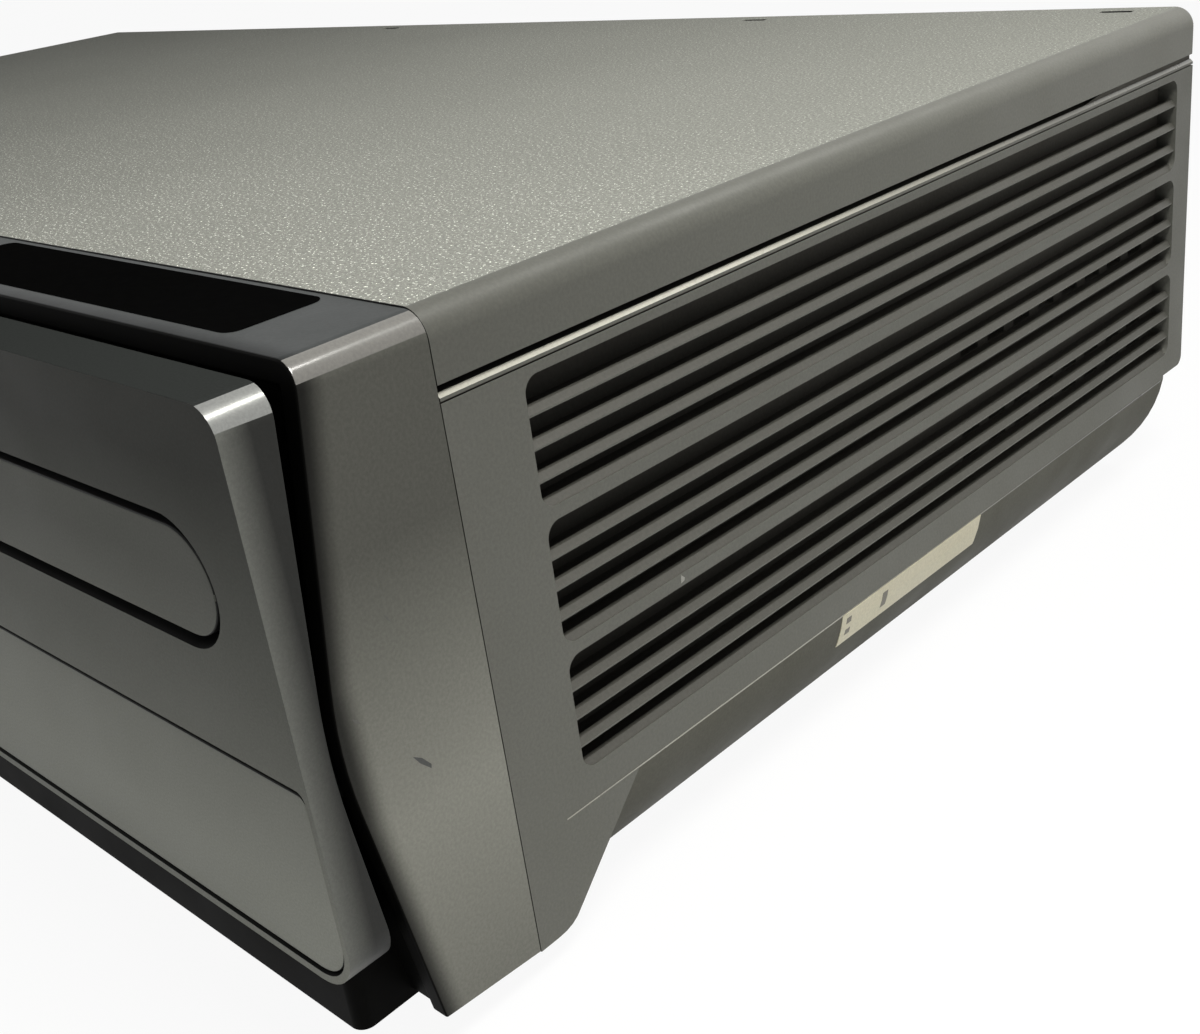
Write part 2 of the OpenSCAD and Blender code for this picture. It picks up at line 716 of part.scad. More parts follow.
module rear_panel() {
    color([0.60, 0.60, 0.58]) difference() {
        box([-rear_half, rear_y, panel_foot_z], [rear_half, rear_y + rear_t, top_z - 2.3]);
        for (i = [0:2], k = [0, 1])
            translate([rear_jack_x + i * rear_jack_pitch, 0, rear_jack_z + k * rear_jack_row])
                pin_y(6.2, rear_y - 1, rear_y + 2);
        for (z = aerial_z) translate([aerial_x, 0, z]) pin_y(6.6, rear_y - 1, rear_y + 2);
        translate([gland_x, 0, gland_z]) pin_y(gland_r + 0.1, rear_y - 1, rear_y + 2);
        for (x = rear_screw_x) translate([x, 0, rear_screw_z]) pin_y(1.6, rear_y - 1, rear_y + 2);
        // cooling slots
        for (i = [0:9]) cooling_slot(-rear_half + 41.8 + i * rear_slot_pitch, 22);
        for (i = [0:5]) cooling_slot(rear_half - 61.8 + i * rear_slot_pitch, 16);
    }
}

// --- jacks ---
jack_r = 4.15;
jack_root = rear_y + rear_t + 0.6;
jack_tip = jack_root + 8;
jack_bore = 1.6;
insert_r = 3.3;

module jack_sleeve(y0, y1, root0, root1) { // shell of one phono jack, wider from root0 to root1
    difference() {
        union() {
            pin_y(jack_r, y0, y1);
            pin_y(jack_r + 0.5, root0, root1);
        }
        pin_y(insert_r + 0.02, y0 - 1, y1 + 1);
    }
}

module jack_insert(y0, y1) {
    difference() {
        pin_y(insert_r, y0, y1);
        pin_y(jack_bore, y0 - 1, y1 + 1);
    }
}

module front_row(i) { translate([jack_x + i * jack_pitch, 0, row_z]) children(); }
module rear_row(i, k) {
    translate([rear_jack_x + i * rear_jack_pitch, 0, rear_jack_z + k * rear_jack_row]) children();
}

module jack_sleeves() {
    color([0.75, 0.74, 0.70]) {
        for (i = [0:2]) front_row(i) jack_sleeve(panel_y + 0.2, board_y - 5, board_y - 6, board_y - 5);
        for (i = [0:2], k = [0, 1]) rear_row(i, k)
            jack_sleeve(rear_y - 4, jack_tip, rear_y - 4, jack_root);
    }
}

module inserts(i, paint) {
    color(paint) {
        front_row(i) jack_insert(panel_y + 0.6, board_y - 5);
        for (k = [0, 1]) rear_row(i, k) jack_insert(rear_y - 4, jack_tip - 0.4);
    }
}

module video_inserts() { inserts(0, [0.9, 0.75, 0.1]); }
module left_audio_inserts() { inserts(1, [0.92, 0.92, 0.9]); }
module right_audio_inserts() { inserts(2, [0.75, 0.1, 0.1]); }

module front_jack_block() {
    color([0.08, 0.08, 0.08])
        box([jack_x - 6.5, board_y - 5, row_z - 6.5], [jack_x + 2 * jack_pitch + 6.5, board_y, row_z + 6.5]);
}

module rear_jack_block() {
    color([0.08, 0.08, 0.08]) {
        box([rear_jack_x - 7, rear_y - 16, main_z], [rear_jack_x + 2 * rear_jack_pitch + 7, rear_y - 4,
             rear_jack_z + rear_jack_row + 7]);
        for (i = [0:2], k = [0, 1]) rear_row(i, k) difference() {
            pin_y(6, rear_y - 4 - eps, jack_root);
            pin_y(jack_r + 0.52, rear_y - 4.1, jack_root + 1);
        }
    }
}

// --- boards ---
main_z = floor_top + 4.6;

board_x0 = -side_x + 17.5;
board_y0 = joint_y + 24.75;
supply_x0 = side_x - 85.5;
supply_x1 = side_x - 13;
supply_y0 = joint_y + 38.75;
supply_y1 = rear_y - 19.2;
board_x1 = supply_x0 - 6;

module post_holes() {
    for (p = post_points) translate([p[0], p[1], 0]) cylinder(r = 4.6, h = 60);
}

module standoffs(xs, ys) { // they stand on the cabinet's floor and carry a board
    for (x = xs, y = ys) translate([x, y, floor_top])
        cylinder(r = 3, h = main_z - board_t - floor_top + eps);
}

module main_board() {
    color([0.10, 0.30, 0.16]) {
        difference() {
            box([board_x0, board_y0, main_z - board_t], [board_x1, rear_y - 2, main_z]);
            post_holes();
        }
        standoffs([board_x0 + 30, board_x0 + 140, board_x1 - 96, board_x1 - 16],
                  [board_y0 + 24, rear_y - 27.2]);
        // integrated circuits and connectors: [x, y, width] from the board's front left corner
        for (p = [[50, 44, 14], [110, 34, 22], [210, 44, 28], [220, 94, 18]])
            box([board_x0 + p[0], board_y0 + p[1], main_z - eps],
                [board_x0 + p[0] + p[2], board_y0 + p[1] + p[2], main_z + 2]);
        for (x = [board_x0 + 170, board_x0 + 186])
            box([x, board_y0 + 8, main_z - eps], [x + 11, board_y0 + 14, main_z + 7]);
    }
}

module front_board() {
    color([0.12, 0.32, 0.18]) {
        box([controls_x0, board_y, row_z - 13], [controls_x1 - 2, board_y + board_t, row_z + 13]);
        // tact switches behind the buttons
        for (c = caps) translate([c[0], 0, c[1]]) {
            box([-2.6, board_y - 2, -2.6], [2.6, board_y + eps, 2.6]);
            pin_y(1.4, board_y - 3.4, board_y - 1.9);
        }
    }
}

module power_board() {
    color([0.66, 0.52, 0.28]) {
        difference() {
            box([supply_x0, supply_y0, main_z - board_t], [supply_x1, supply_y1, main_z]);
            post_holes();
        }
        standoffs([supply_x0 + 8, supply_x1 - 8.5], [supply_y0 + 10, supply_y1 - 14]);
        // capacitors: [x, y, radius, height] from the board's front left corner
        for (p = [[14, 76, 9, 26], [38, 74, 6, 18], [54, 80, 5, 14], [20, 110, 5, 14]])
            translate([supply_x0 + p[0], supply_y0 + p[1], main_z - eps]) cylinder(r = p[2], h = p[3]);
    }
}

module transformer() {
    core_h = 5;
    coil_h = 15;
    color([0.75, 0.68, 0.30]) translate([supply_x0 + 10, supply_y0 + 18, main_z]) {
        for (z = [0, core_h + coil_h]) translate([0, 0, z]) cube([34, 30, core_h]);
        translate([4, 4, core_h - eps]) cube([26, 22, coil_h + 2 * eps]);
    }
}

module heatsink() {
    fin_l = 9;
    color([0.70, 0.70, 0.72]) translate([supply_x1 - 20.5, supply_y0 + 14, main_z]) {
        cube([3, 50, 24]);
        for (i = [0:6]) translate([3 - eps, i * 8, 0]) cube([fin_l, 2, 24]);
    }
}

module tuner_can() {
    tuner_top = aerial_z[1] + 10;
    color([0.72, 0.72, 0.70]) difference() {
        box([aerial_x - 12, rear_y - 52, main_z], [aerial_x + 14, rear_y - 0.3, tuner_top]);
        for (z = aerial_z) translate([aerial_x, 0, z]) pin_y(3.52, rear_y - 3, rear_y);
        for (i = [0:4]) box([aerial_x - 8, rear_y - 46 + i * 8, tuner_top - 0.6],
                            [aerial_x + 10, rear_y - 42 + i * 8, tuner_top + 1]);
    }
}

module aerial_sockets() { // threaded outer sleeves with a plain crest, and a flat nut each
    color([0.78, 0.76, 0.70]) for (z = aerial_z) translate([aerial_x, 0, z]) difference() {
        union() {
            pin_y(3.5, rear_y - 3, rear_y);
            pin_y(5.8, rear_y - 0.3, rear_y + 2.4);
            pin_y(4.75, rear_y + 2.4, rear_y + 9.4);
        }
        pin_y(2.4, rear_y, rear_y + 10);
    }
}

module cord_gland() {
    color([0.05, 0.05, 0.05]) translate([gland_x, 0, gland_z]) difference() {
        union() {
            pin_y(gland_r, rear_y - 5, rear_y + rear_t);
            pin_y(gland_r + 2, rear_y + rear_t, rear_y + rear_t + 3);
            pin_y(gland_r + 1.4, rear_y - 5, rear_y - 1);
        }
        pin_y(2.2, rear_y - 6, rear_y + rear_t + 4);
    }
}

// --- tape deck ---
module deck_plate() {
    color([0.68, 0.68, 0.66]) {
        difference() {
            union() {
                box([tape_x - 101, holder_y - 6.5, deck_z], [deck_side, rear_y - 3, deck_top]);
                // bearing of the capstan
                translate([capstan_x, capstan_y, deck_z - 3]) cylinder(r = 5, h = deck_t + 11);
            }
            translate([capstan_x, capstan_y, deck_z - 4]) cylinder(r = pin_r + run_gap, h = 20);
            // openings under the holder and behind the reels
            for (x = [tape_x - 84, tape_x + 66])
                box([x, holder_y + 5.5, deck_z - 1], [x + 18, holder_y + 29.5, deck_top + 1]);
            box([tape_x - 24, holder_y + 5.5, deck_z - 1], [tape_x + 24, reel_y - 14.5, deck_top + 1]);
            box([tape_x - 30, reel_y + 19.5, deck_z - 1], [tape_x + 30, reel_y + 45.5, deck_top + 1]);
        }
        // pins of the reel tables and the pinch roller
        for (s = [-1, 1]) translate([tape_x + s * reel_pitch / 2, reel_y, deck_top - eps]) {
            cylinder(r = 2, h = 15);
            difference() {
                cylinder(r = 4, h = 1);
                translate([0, 0, -1]) cylinder(r = 2, h = 3);
            }
        }
        translate([roller_x, roller_y, deck_top - eps]) {
            cylinder(r = pin_r, h = 28);
            cylinder(r = 4, h = 11);
        }
        // guide posts of the tape path
        for (p = [[-52, 2], [-46, 14], [36, 36], [54, 22]])
            translate([tape_x + p[0], capstan_y + p[1], deck_top - eps]) {
                cylinder(r = 3, h = 12);
                cylinder(r = 1.8, h = 28);
                translate([0, 0, 28]) cylinder(r = 3, h = 2);
            }
    }
}

module carriage_frame() {
    slot_h = 4.6;
    y0 = holder_y + 9;
    y1 = holder_y + holder_d + holder_travel + 4;
    color([0.62, 0.62, 0.60]) for (s = [-1, 1]) difference() {
        x0 = tape_x + s * (frame_in + 0.6);
        union() {
            box([x0 - 0.6, holder_y - 3, deck_top], [x0 + 0.6, y1, holder_top + 4]);
            box([x0 - (s < 0 ? 0.6 : 8), y1 - 20, deck_top],
                [x0 + (s < 0 ? 8 : 0.6), y1 - 8, deck_top + 1.2]);
        }
        // the pins' track: inward along the level leg, then down either short leg
        box([x0 - 2, y0 - slot_h / 2, guide_z - slot_h / 2],
            [x0 + 2, y0 + 40 + holder_travel + slot_h / 2, guide_z + slot_h / 2]);
        for (y = [y0 + holder_travel, y0 + 40 + holder_travel])
            box([x0 - 2, y - slot_h / 2, guide_z - drop_h - slot_h / 2], [x0 + 2, y + slot_h / 2, guide_z]);
    }
}

module cassette_holder() {
    t = 1.2;
    color([0.74, 0.74, 0.72]) translate([tape_x, 0, 0]) {
        difference() {
            box([-holder_out, holder_y, holder_z], [holder_out, holder_y + holder_d, holder_top]);
            box([-holder_in, holder_y - 1, holder_z + t],
                [holder_in, holder_y + holder_d + 1, holder_top - t]);
            box([-holder_in + 10, holder_y - 1, holder_z - 1],
                [holder_in - 10, holder_y + holder_d + 1, holder_z + 2 * t]);
            for (x = [-70, -20, 30]) box([x, holder_y + 12, holder_top - 2 * t],
                                         [x + 40, holder_y + holder_d - 12, holder_top + 1]);
        }
        for (s = [-1, 1], y = [holder_y + 9, holder_y + 49]) translate([0, y, guide_z])
            pin_x(2, min(s * (holder_out - 0.4), s * (frame_in + 1.6)),
                  max(s * (holder_out - 0.4), s * (frame_in + 1.6)));
    }
}

drum_z = deck_top + 3;
drum_low_h = 14;
drum_high_h = 17;

module lean() { translate([tape_x, drum_y, drum_z]) rotate([drum_lean, 0, 0]) children(); }

module drum_base() {
    color([0.70, 0.71, 0.72]) {
        lean() difference() {
            cylinder(r = drum_r, h = drum_low_h);
            translate([0, 0, drum_low_h - 4]) cylinder(r = 4 + run_gap, h = 5);
        }
        // wedge block under the leaning drum
        difference() {
            translate([tape_x, drum_y, deck_top]) cylinder(r = drum_r - 6, h = 6);
            lean() translate([0, 0, 1]) cylinder(r = drum_r + 8, h = 12);
        }
    }
}

module head_drum() {
    color([0.80, 0.81, 0.82]) lean() translate([0, 0, drum_low_h + 0.4]) difference() {
        union() {
            cylinder(r = drum_r, h = drum_high_h - 0.8);
            cylinder(r = drum_r - 0.8, h = drum_high_h);
            translate([0, 0, -3.4]) cylinder(r = 4, h = 4);
            translate([0, 0, drum_high_h - eps]) cylinder(r = 9, h = 3);
        }
        translate([0, 0, drum_high_h - 3]) difference() {
            cylinder(r = drum_r - 5, h = 10);
            cylinder(r = 12, h = 10);
        }
        for (a = [0, 180]) rotate([0, 0, a]) translate([drum_r - 2, -2, -1]) cube([4, 4, 4]);
    }
}

module capstan() {
    color([0.78, 0.78, 0.80]) translate([capstan_x, capstan_y, 0]) {
        translate([0, 0, deck_z - 12]) {
            difference() {
                cylinder(r = flywheel_d / 2, h = 8);
                translate([0, 0, -1]) difference() {
                    cylinder(r = flywheel_d / 2 - 5, h = 4);
                    cylinder(r = 6, h = 4);
                }
            }
            cylinder(r = pin_r, h = 44);
        }
        translate([0, 0, deck_top + 10.5]) cylinder(r = 3, h = 1);
    }
}

module pinch_roller() {
    color([0.07, 0.07, 0.07]) translate([roller_x, roller_y, deck_top + 11.3]) difference() {
        cylinder(r = roller_r, h = 14);
        translate([0, 0, -1]) cylinder(r = pin_r + run_gap, h = 20);
    }
}

module reel_table(side) {
    color([0.85, 0.85, 0.82]) translate([tape_x + side * reel_pitch / 2, reel_y, deck_top + 1.2])
        difference() {
            union() {
                cylinder(r = 20, h = 1.6);
                cylinder(r = 12, h = 3);
                cylinder(r = 5, h = 14);
                for (a = [0, 120, 240]) rotate([0, 0, a]) translate([4, -1, 0]) cube([4.5, 2, 12]);
            }
            translate([0, 0, -1]) cylinder(r = 2 + run_gap, h = 30);
            for (a = [0:60:300]) rotate([0, 0, a]) translate([16, 0, -1]) cylinder(r = 1.6, h = 4);
        }
}

module supply_reel() { reel_table(-1); }
module takeup_reel() { reel_table(1); }

module tape_heads() { // full erase head on the left, sound and control head on the right
    color([0.66, 0.67, 0.70]) for (p = [[-40, 24], [40, 22]])
        translate([tape_x + p[0], capstan_y + p[1], deck_top]) {
            cylinder(r = 4, h = 12);
            box([-5, -4, 11.9], [5, 4, 24]);
        }
}

// --- disc loader ---
module loader_base() {
    z0 = loader_z;
    z1 = tray_top + 6;
    x0 = loader_x - loader_half;
    x1 = loader_x + loader_half;
    color([0.13, 0.13, 0.14]) {
        difference() {
            union() {
                box([x0, loader_y, z0], [x1, loader_back, z0 + 2]);
                for (x = [x0, x1 - 2]) box([x, loader_y, z0], [x + 2, loader_back, z1]);
                box([x0, loader_back - 2, z0], [x1, loader_back, tray_z - 2]);
                // ledges that the tray's edges slide on
                box([x0 + 1, loader_y, tray_z - 2], [x0 + 7.2, loader_back - 8, tray_z - seam_gap]);
                box([x1 - 7.2, loader_y, tray_z - 2], [x1 - 1, loader_back - 8, tray_z - seam_gap]);
                // post of the tray's pinion
                translate([pinion_x, pinion_y, z0 + 1]) cylinder(r = 4.5, h = rack_z - z0 - 1.3);
                translate([pinion_x, pinion_y, z0 + 1]) cylinder(r = 2, h = tray_z + 0.3 - z0);
                // bearings of the traverse plate
                for (s = [-1, 1]) {
                    bx = loader_x + s * (traverse_half + 5);
                    box([bx - 2, traverse_back - 5, z0 + 1], [bx + 2, traverse_back + 5, traverse_z + 5]);
                }
            }
            // well under the traverse
            box([loader_x - 42, traverse_y - 6, z0 - 1], [loader_x + 50, traverse_back - 8, z0 + 3]);
            for (s = [-1, 1]) translate([0, traverse_back, traverse_z + 0.75])
                pin_x(2 + run_gap, loader_x + s * (traverse_half + 5) - 3,
                      loader_x + s * (traverse_half + 5) + 3);
        }
    }
}

module disc_tray() {
    x = loader_x;
    color([0.12, 0.12, 0.13]) {
        difference() {
            union() {
                box([x - tray_half, tray_y, tray_z], [x + tray_half, tray_back, tray_top]);
                box([x - tray_half - 4, tray_y + 4, tray_z], [x + tray_half + 4, tray_back, tray_z + tray_hollow]);
            }
            // disc well, with the shallower well of a small disc inside it
            translate([x, spindle_y, tray_z + 4.3]) cylinder(r = disc_r, h = 10, $fn = 96);
            translate([x, spindle_y, tray_z + 3.2]) cylinder(r = 41, h = 10, $fn = 96);
            // finger cut-outs at both sides
            for (s = [-1, 1]) translate([x + s * (disc_r + 2), spindle_y, tray_z + 3.2])
                cylinder(r = 14, h = 10);
            // way for the turntable and the pickup, open at the back
            box([x - deck_slot / 2, spindle_y, tray_z - 1], [x + deck_slot / 2, tray_back + 1, tray_top + 1]);
            translate([x, spindle_y, tray_z - 1]) cylinder(r = deck_slot / 2, h = 20);
            // hollow underside
            box([x - tray_half + 2, tray_y + 3, tray_z - 1],
                [x - deck_slot / 2 - 3, tray_back + 1, tray_z + tray_hollow]);
            box([x + deck_slot / 2 + 3, tray_y + 3, tray_z - 1],
                [x + tray_half - 2, tray_back - 3, tray_z + tray_hollow]);
            // room over the well's ring behind the disc
            box([x - tray_half + 3, spindle_y + disc_r + 3, tray_z + 4.3],
                [x + tray_half - 3, tray_back - 2, tray_top + 1]);
        }
        // rack under the left edge
        translate([rack_x, pinion_y, rack_z])
            linear_extrude(tray_z + tray_hollow + 0.2 - rack_z)
                rack_outline(tray_module, -6, tray_travel + 6, 2);
    }
}

module tray_front() {
    color([0.41, 0.42, 0.43]) {
        along_y(front_y + seam_gap, front_y + 2.6) translate([loader_x, slot_z])
            tray_slot_outline(tray_reveal, tray_side_gap);
        along_y(front_y + 2.5, tray_y) translate([loader_x, (tray_z + tray_top) / 2])
            square([2 * tray_half - 20, tray_top - tray_z - 1], center = true);
    }
}

module tray_pinion() {
    color([0.90, 0.90, 0.87]) translate([pinion_x, pinion_y, 0]) difference() {
        union() {
            translate([0, 0, rack_z]) rotate([0, 0, pinion_teeth % 2 == 0 ? 180 / pinion_teeth : 0])
                linear_extrude(tray_z + tray_hollow - 0.4 - rack_z) gear_outline(tray_module, pinion_teeth);
        }
        translate([0, 0, rack_z - 1]) cylinder(r = 2 + run_gap, h = 20);
    }
}

module clamp_bridge() {
    x0 = loader_x - loader_half;
    x1 = loader_x + loader_half;
    z1 = tray_top + 6;
    color([0.70, 0.70, 0.68]) difference() {
        along_y(spindle_y - 16, spindle_y + 16) polygon([
            [x0, z1], [x0, z1 + 1.2], [x0 + 8, z1 + 1.2], [x0 + 14, bridge_z + 1.5],
            [x1 - 14, bridge_z + 1.5], [x1 - 8, z1 + 1.2], [x1, z1 + 1.2], [x1, z1],
            [x1 - 8.6, z1], [x1 - 14.6, bridge_z], [x0 + 14.6, bridge_z], [x0 + 8.6, z1]]);
        translate([loader_x, spindle_y, bridge_z - 1]) cylinder(r = 12.8, h = 4);
    }
}

module disc_clamp() {
    color([0.88, 0.88, 0.86]) translate([loader_x, spindle_y, 0]) {
        translate([0, 0, bridge_z + 1.7]) cylinder(r = 15, h = 1.4);
        difference() {
            translate([0, 0, tray_top + 1]) cylinder(r = 12.2, h = bridge_z + 1.8 - tray_top - 1);
            translate([0, 0, tray_top]) cylinder(r = 8, h = 2.6);
        }
    }
}

module traverse_plate() {
    x = loader_x;
    t = 1.5;
    color([0.60, 0.60, 0.58]) {
        difference() {
            box([x - traverse_half, traverse_y, traverse_z], [x + traverse_half, traverse_back + 2, traverse_z + t]);
            translate([x, spindle_y, traverse_z - 1]) cylinder(r = 12.3, h = 4);
            box([x - 18, spindle_y + 13, traverse_z - 1], [x + 18, rod_y + rod_l - 5, traverse_z + 3]);
        }
        // rod holders
        for (s = [-1, 1], y = [rod_y, rod_y + rod_l - 4]) difference() {
            box([x + s * rod_x - 3, y, traverse_z + t - eps], [x + s * rod_x + 3, y + 4, rod_z + 3]);
            translate([x + s * rod_x, 0, rod_z]) pin_y(rod_d / 2, y - 1, y + 5);
        }
        // pin of the feed gear
        translate([feed_x, feed_y, traverse_z + t - eps]) {
            cylinder(r = 2.4, h = 0.5);
            cylinder(r = 1, h = 5);
        }
        // hinge pins at the back
        translate([0, traverse_back, traverse_z + 0.75]) {
            pin_x(2, x - traverse_half - 6.5, x - traverse_half + 4);
            pin_x(2, x + traverse_half - 4, x + traverse_half + 6.5);
        }
    }
}

module spindle_motor() {
    color([0.74, 0.74, 0.74]) translate([loader_x, spindle_y, traverse_z - 8]) difference() {
        union() {
            cylinder(r = 12.2, h = 9.5);
            cylinder(r = 4, h = 11);
        }
        translate([0, 0, 1]) cylinder(r = 1 + run_gap, h = 20);
    }
}

module turntable() {
    z0 = traverse_z + 3.4;
    color([0.16, 0.16, 0.17]) translate([loader_x, spindle_y, 0]) {
        translate([0, 0, traverse_z - 6.5]) cylinder(r = 1, h = 11);
        translate([0, 0, z0]) cylinder(r = 5, h = tray_z + 3.9 - z0);
        translate([0, 0, tray_z + 3.8]) cylinder(r = turntable_d / 2, h = 1.8);
        translate([0, 0, tray_z + 5.5]) cylinder(r1 = 7.4, r2 = 5.6, h = 2.6);
    }
}

module guide_rods() {
    color([0.82, 0.82, 0.84]) for (s = [-1, 1])
        translate([loader_x + s * rod_x, 0, rod_z]) pin_y(rod_d / 2 - 0.01, rod_y - 1, rod_y + rod_l + 1);
}

module pickup_sled() {
    x = loader_x;
    z0 = traverse_z + 2.2;
    color([0.55, 0.50, 0.42]) translate([0, sled_y, 0]) {
        difference() {
            union() {
                box([x - rod_x + 5, -sled_half, z0], [x + rod_x - 5, sled_half, z0 + 4]);
                for (s = [-1, 1]) box([x + s * rod_x - 5.2, -sled_half + 2, z0],
                                      [x + s * rod_x + 5.2, sled_half - 2, rod_z + 2.4]);
                box([x - 15, -sled_half + 3, z0 - 5], [x + 15, sled_half - 1, z0 + eps]);
                box([x - 9, -9, z0], [x + 9, 9, z0 + 8.2]);
            }
            for (s = [-1, 1]) translate([x + s * rod_x, 0, rod_z])
                pin_y(rod_d / 2 + run_gap, -sled_half - 1, sled_half + 1);
        }
        translate([x, 0, z0 + 8]) cylinder(r = 3, h = 1);
        // feed rack
        translate([feed_rack_x, feed_y - sled_y, traverse_z + 2.3])
            linear_extrude(2.6) rack_outline(feed_module, -sled_travel - 5, 5, 1.2, 0.1);
        box([x + rod_x + 5, -sled_half + 2, z0 + 0.1],
            [feed_rack_x - 1.25 * feed_module - 0.2, sled_half - 2, z0 + 2.7]);
    }
}

module feed_gear() {
    color([0.92, 0.92, 0.90]) translate([feed_x, feed_y, traverse_z + 2.3]) difference() {
        linear_extrude(2.6)
            rotate([0, 0, feed_teeth % 2 == 0 ? 180 / feed_teeth : 0])
                gear_outline(feed_module, feed_teeth, 0.1);
        translate([0, 0, -1]) cylinder(r = 1 + run_gap, h = 10);
    }
}

front_frame();
inner_frame();
fascia();
trim_panel();
display_window();
display_tube();
cassette_flap();
tray_front();
top_cover();
lower_cabinet();
rear_panel();
feet();
case_screws();
push_button(power_cap);  // power_button
push_button(transport_caps[0]);  // rewind_button
push_button(transport_caps[1]);  // tape_play_button
push_button(transport_caps[2]);  // forward_button
push_button(transport_caps[3]);  // tape_stop_button
push_button(transport_caps[4]);  // record_button
push_button(channel_caps[0]);  // channel_up_button
push_button(channel_caps[1]);  // channel_down_button
push_button(disc_caps[0]);  // disc_play_button
push_button(disc_caps[1]);  // disc_stop_button
push_button(disc_caps[2]);  // open_close_button
front_jack_block();
rear_jack_block();
jack_sleeves();
video_inserts();
left_audio_inserts();
right_audio_inserts();
tuner_can();
aerial_sockets();
cord_gland();
main_board();
front_board();
power_board();
transformer();
heatsink();
deck_plate();
carriage_frame();
cassette_holder();
drum_base();
head_drum();
capstan();
pinch_roller();
supply_reel();
takeup_reel();
tape_heads();
loader_base();
disc_tray();
tray_pinion();
clamp_bridge();
disc_clamp();
traverse_plate();
spindle_motor();
turntable();
guide_rods();
pickup_sled();
feed_gear();
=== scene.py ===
import json
import math
import bmesh
import bpy
from mathutils import Euler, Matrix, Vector


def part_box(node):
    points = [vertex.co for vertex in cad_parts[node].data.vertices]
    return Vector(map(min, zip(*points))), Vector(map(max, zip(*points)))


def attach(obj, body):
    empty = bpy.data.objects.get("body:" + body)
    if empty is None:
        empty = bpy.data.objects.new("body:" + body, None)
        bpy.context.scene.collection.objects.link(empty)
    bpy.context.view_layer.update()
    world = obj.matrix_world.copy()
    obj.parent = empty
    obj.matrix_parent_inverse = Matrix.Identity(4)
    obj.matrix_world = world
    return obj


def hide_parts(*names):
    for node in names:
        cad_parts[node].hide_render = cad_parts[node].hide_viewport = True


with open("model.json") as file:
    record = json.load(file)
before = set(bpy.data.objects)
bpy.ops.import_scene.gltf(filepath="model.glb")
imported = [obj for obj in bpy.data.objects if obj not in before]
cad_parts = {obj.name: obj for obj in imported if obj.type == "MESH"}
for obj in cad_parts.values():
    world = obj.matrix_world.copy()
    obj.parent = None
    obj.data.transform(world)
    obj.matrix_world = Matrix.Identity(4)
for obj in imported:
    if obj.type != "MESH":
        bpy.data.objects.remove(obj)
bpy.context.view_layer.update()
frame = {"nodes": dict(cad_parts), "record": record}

# Lengths are in millimetres, in the CAD's frame: +Z is up, the front faces -Y, and +X is on the
# viewer's right. MM turns them into Blender's metres. Only the lamps and the floor are in metres.
MM = 0.001
NODES = frame["nodes"]
BODY_OF = {n: b for b, ns in frame["record"]["behaviour"]["bodies"].items() for n in ns}
scene = bpy.context.scene


def srgb(r, g, b):
    """A colour as a picture writes it, 0 to 255, in Blender's linear light."""
    def linear(c):
        c /= 255.0
        return c / 12.92 if c <= 0.04045 else ((c + 0.055) / 1.055) ** 2.4
    return (linear(r), linear(g), linear(b), 1.0)


def toned(colour, tone):
    """The colour made darker or lighter, and no lighter than white."""
    return [min(1, c * tone) for c in colour[:3]] + [1]


def grey(tone):
    return (tone, tone, tone, 1)


def new_object(name, data):
    obj = bpy.data.objects.new(name, data)
    scene.collection.objects.link(obj)
    return obj


# ---------------------------------------------------------------- camera, fitted to the photograph
CAMERA_PLACE = (348.50, -189.20, 146.03)
CAMERA_TURN = (65.0787, 7.2700, 43.3049)  # degrees

cam_data = bpy.data.cameras.new("camera")
cam_data.sensor_fit = "HORIZONTAL"
cam_data.sensor_width = 36.0
cam_data.lens = 44.108
cam_data.clip_start = 0.01
cam_data.clip_end = 20
camera = new_object("camera", cam_data)
camera.location = [v * MM for v in CAMERA_PLACE]
camera.rotation_euler = Euler([math.radians(a) for a in CAMERA_TURN], "XYZ")
scene.camera = camera
scene.view_settings.view_transform = "Standard"

# ---------------------------------------------------------------- materials
MOST = (0.3, 0.7)  # most values of a noise lie between these
FRONT_SHADE_Y = (-120, -100)  # the painted shade along a front edge lies between these depths
PAINTED_GLINT_Y = (-88, 10)  # the painted highlights on the finest tips of the cover's grain fade from front to back
PAINTED_GLINT_SHARE = (1.0, 0.35)


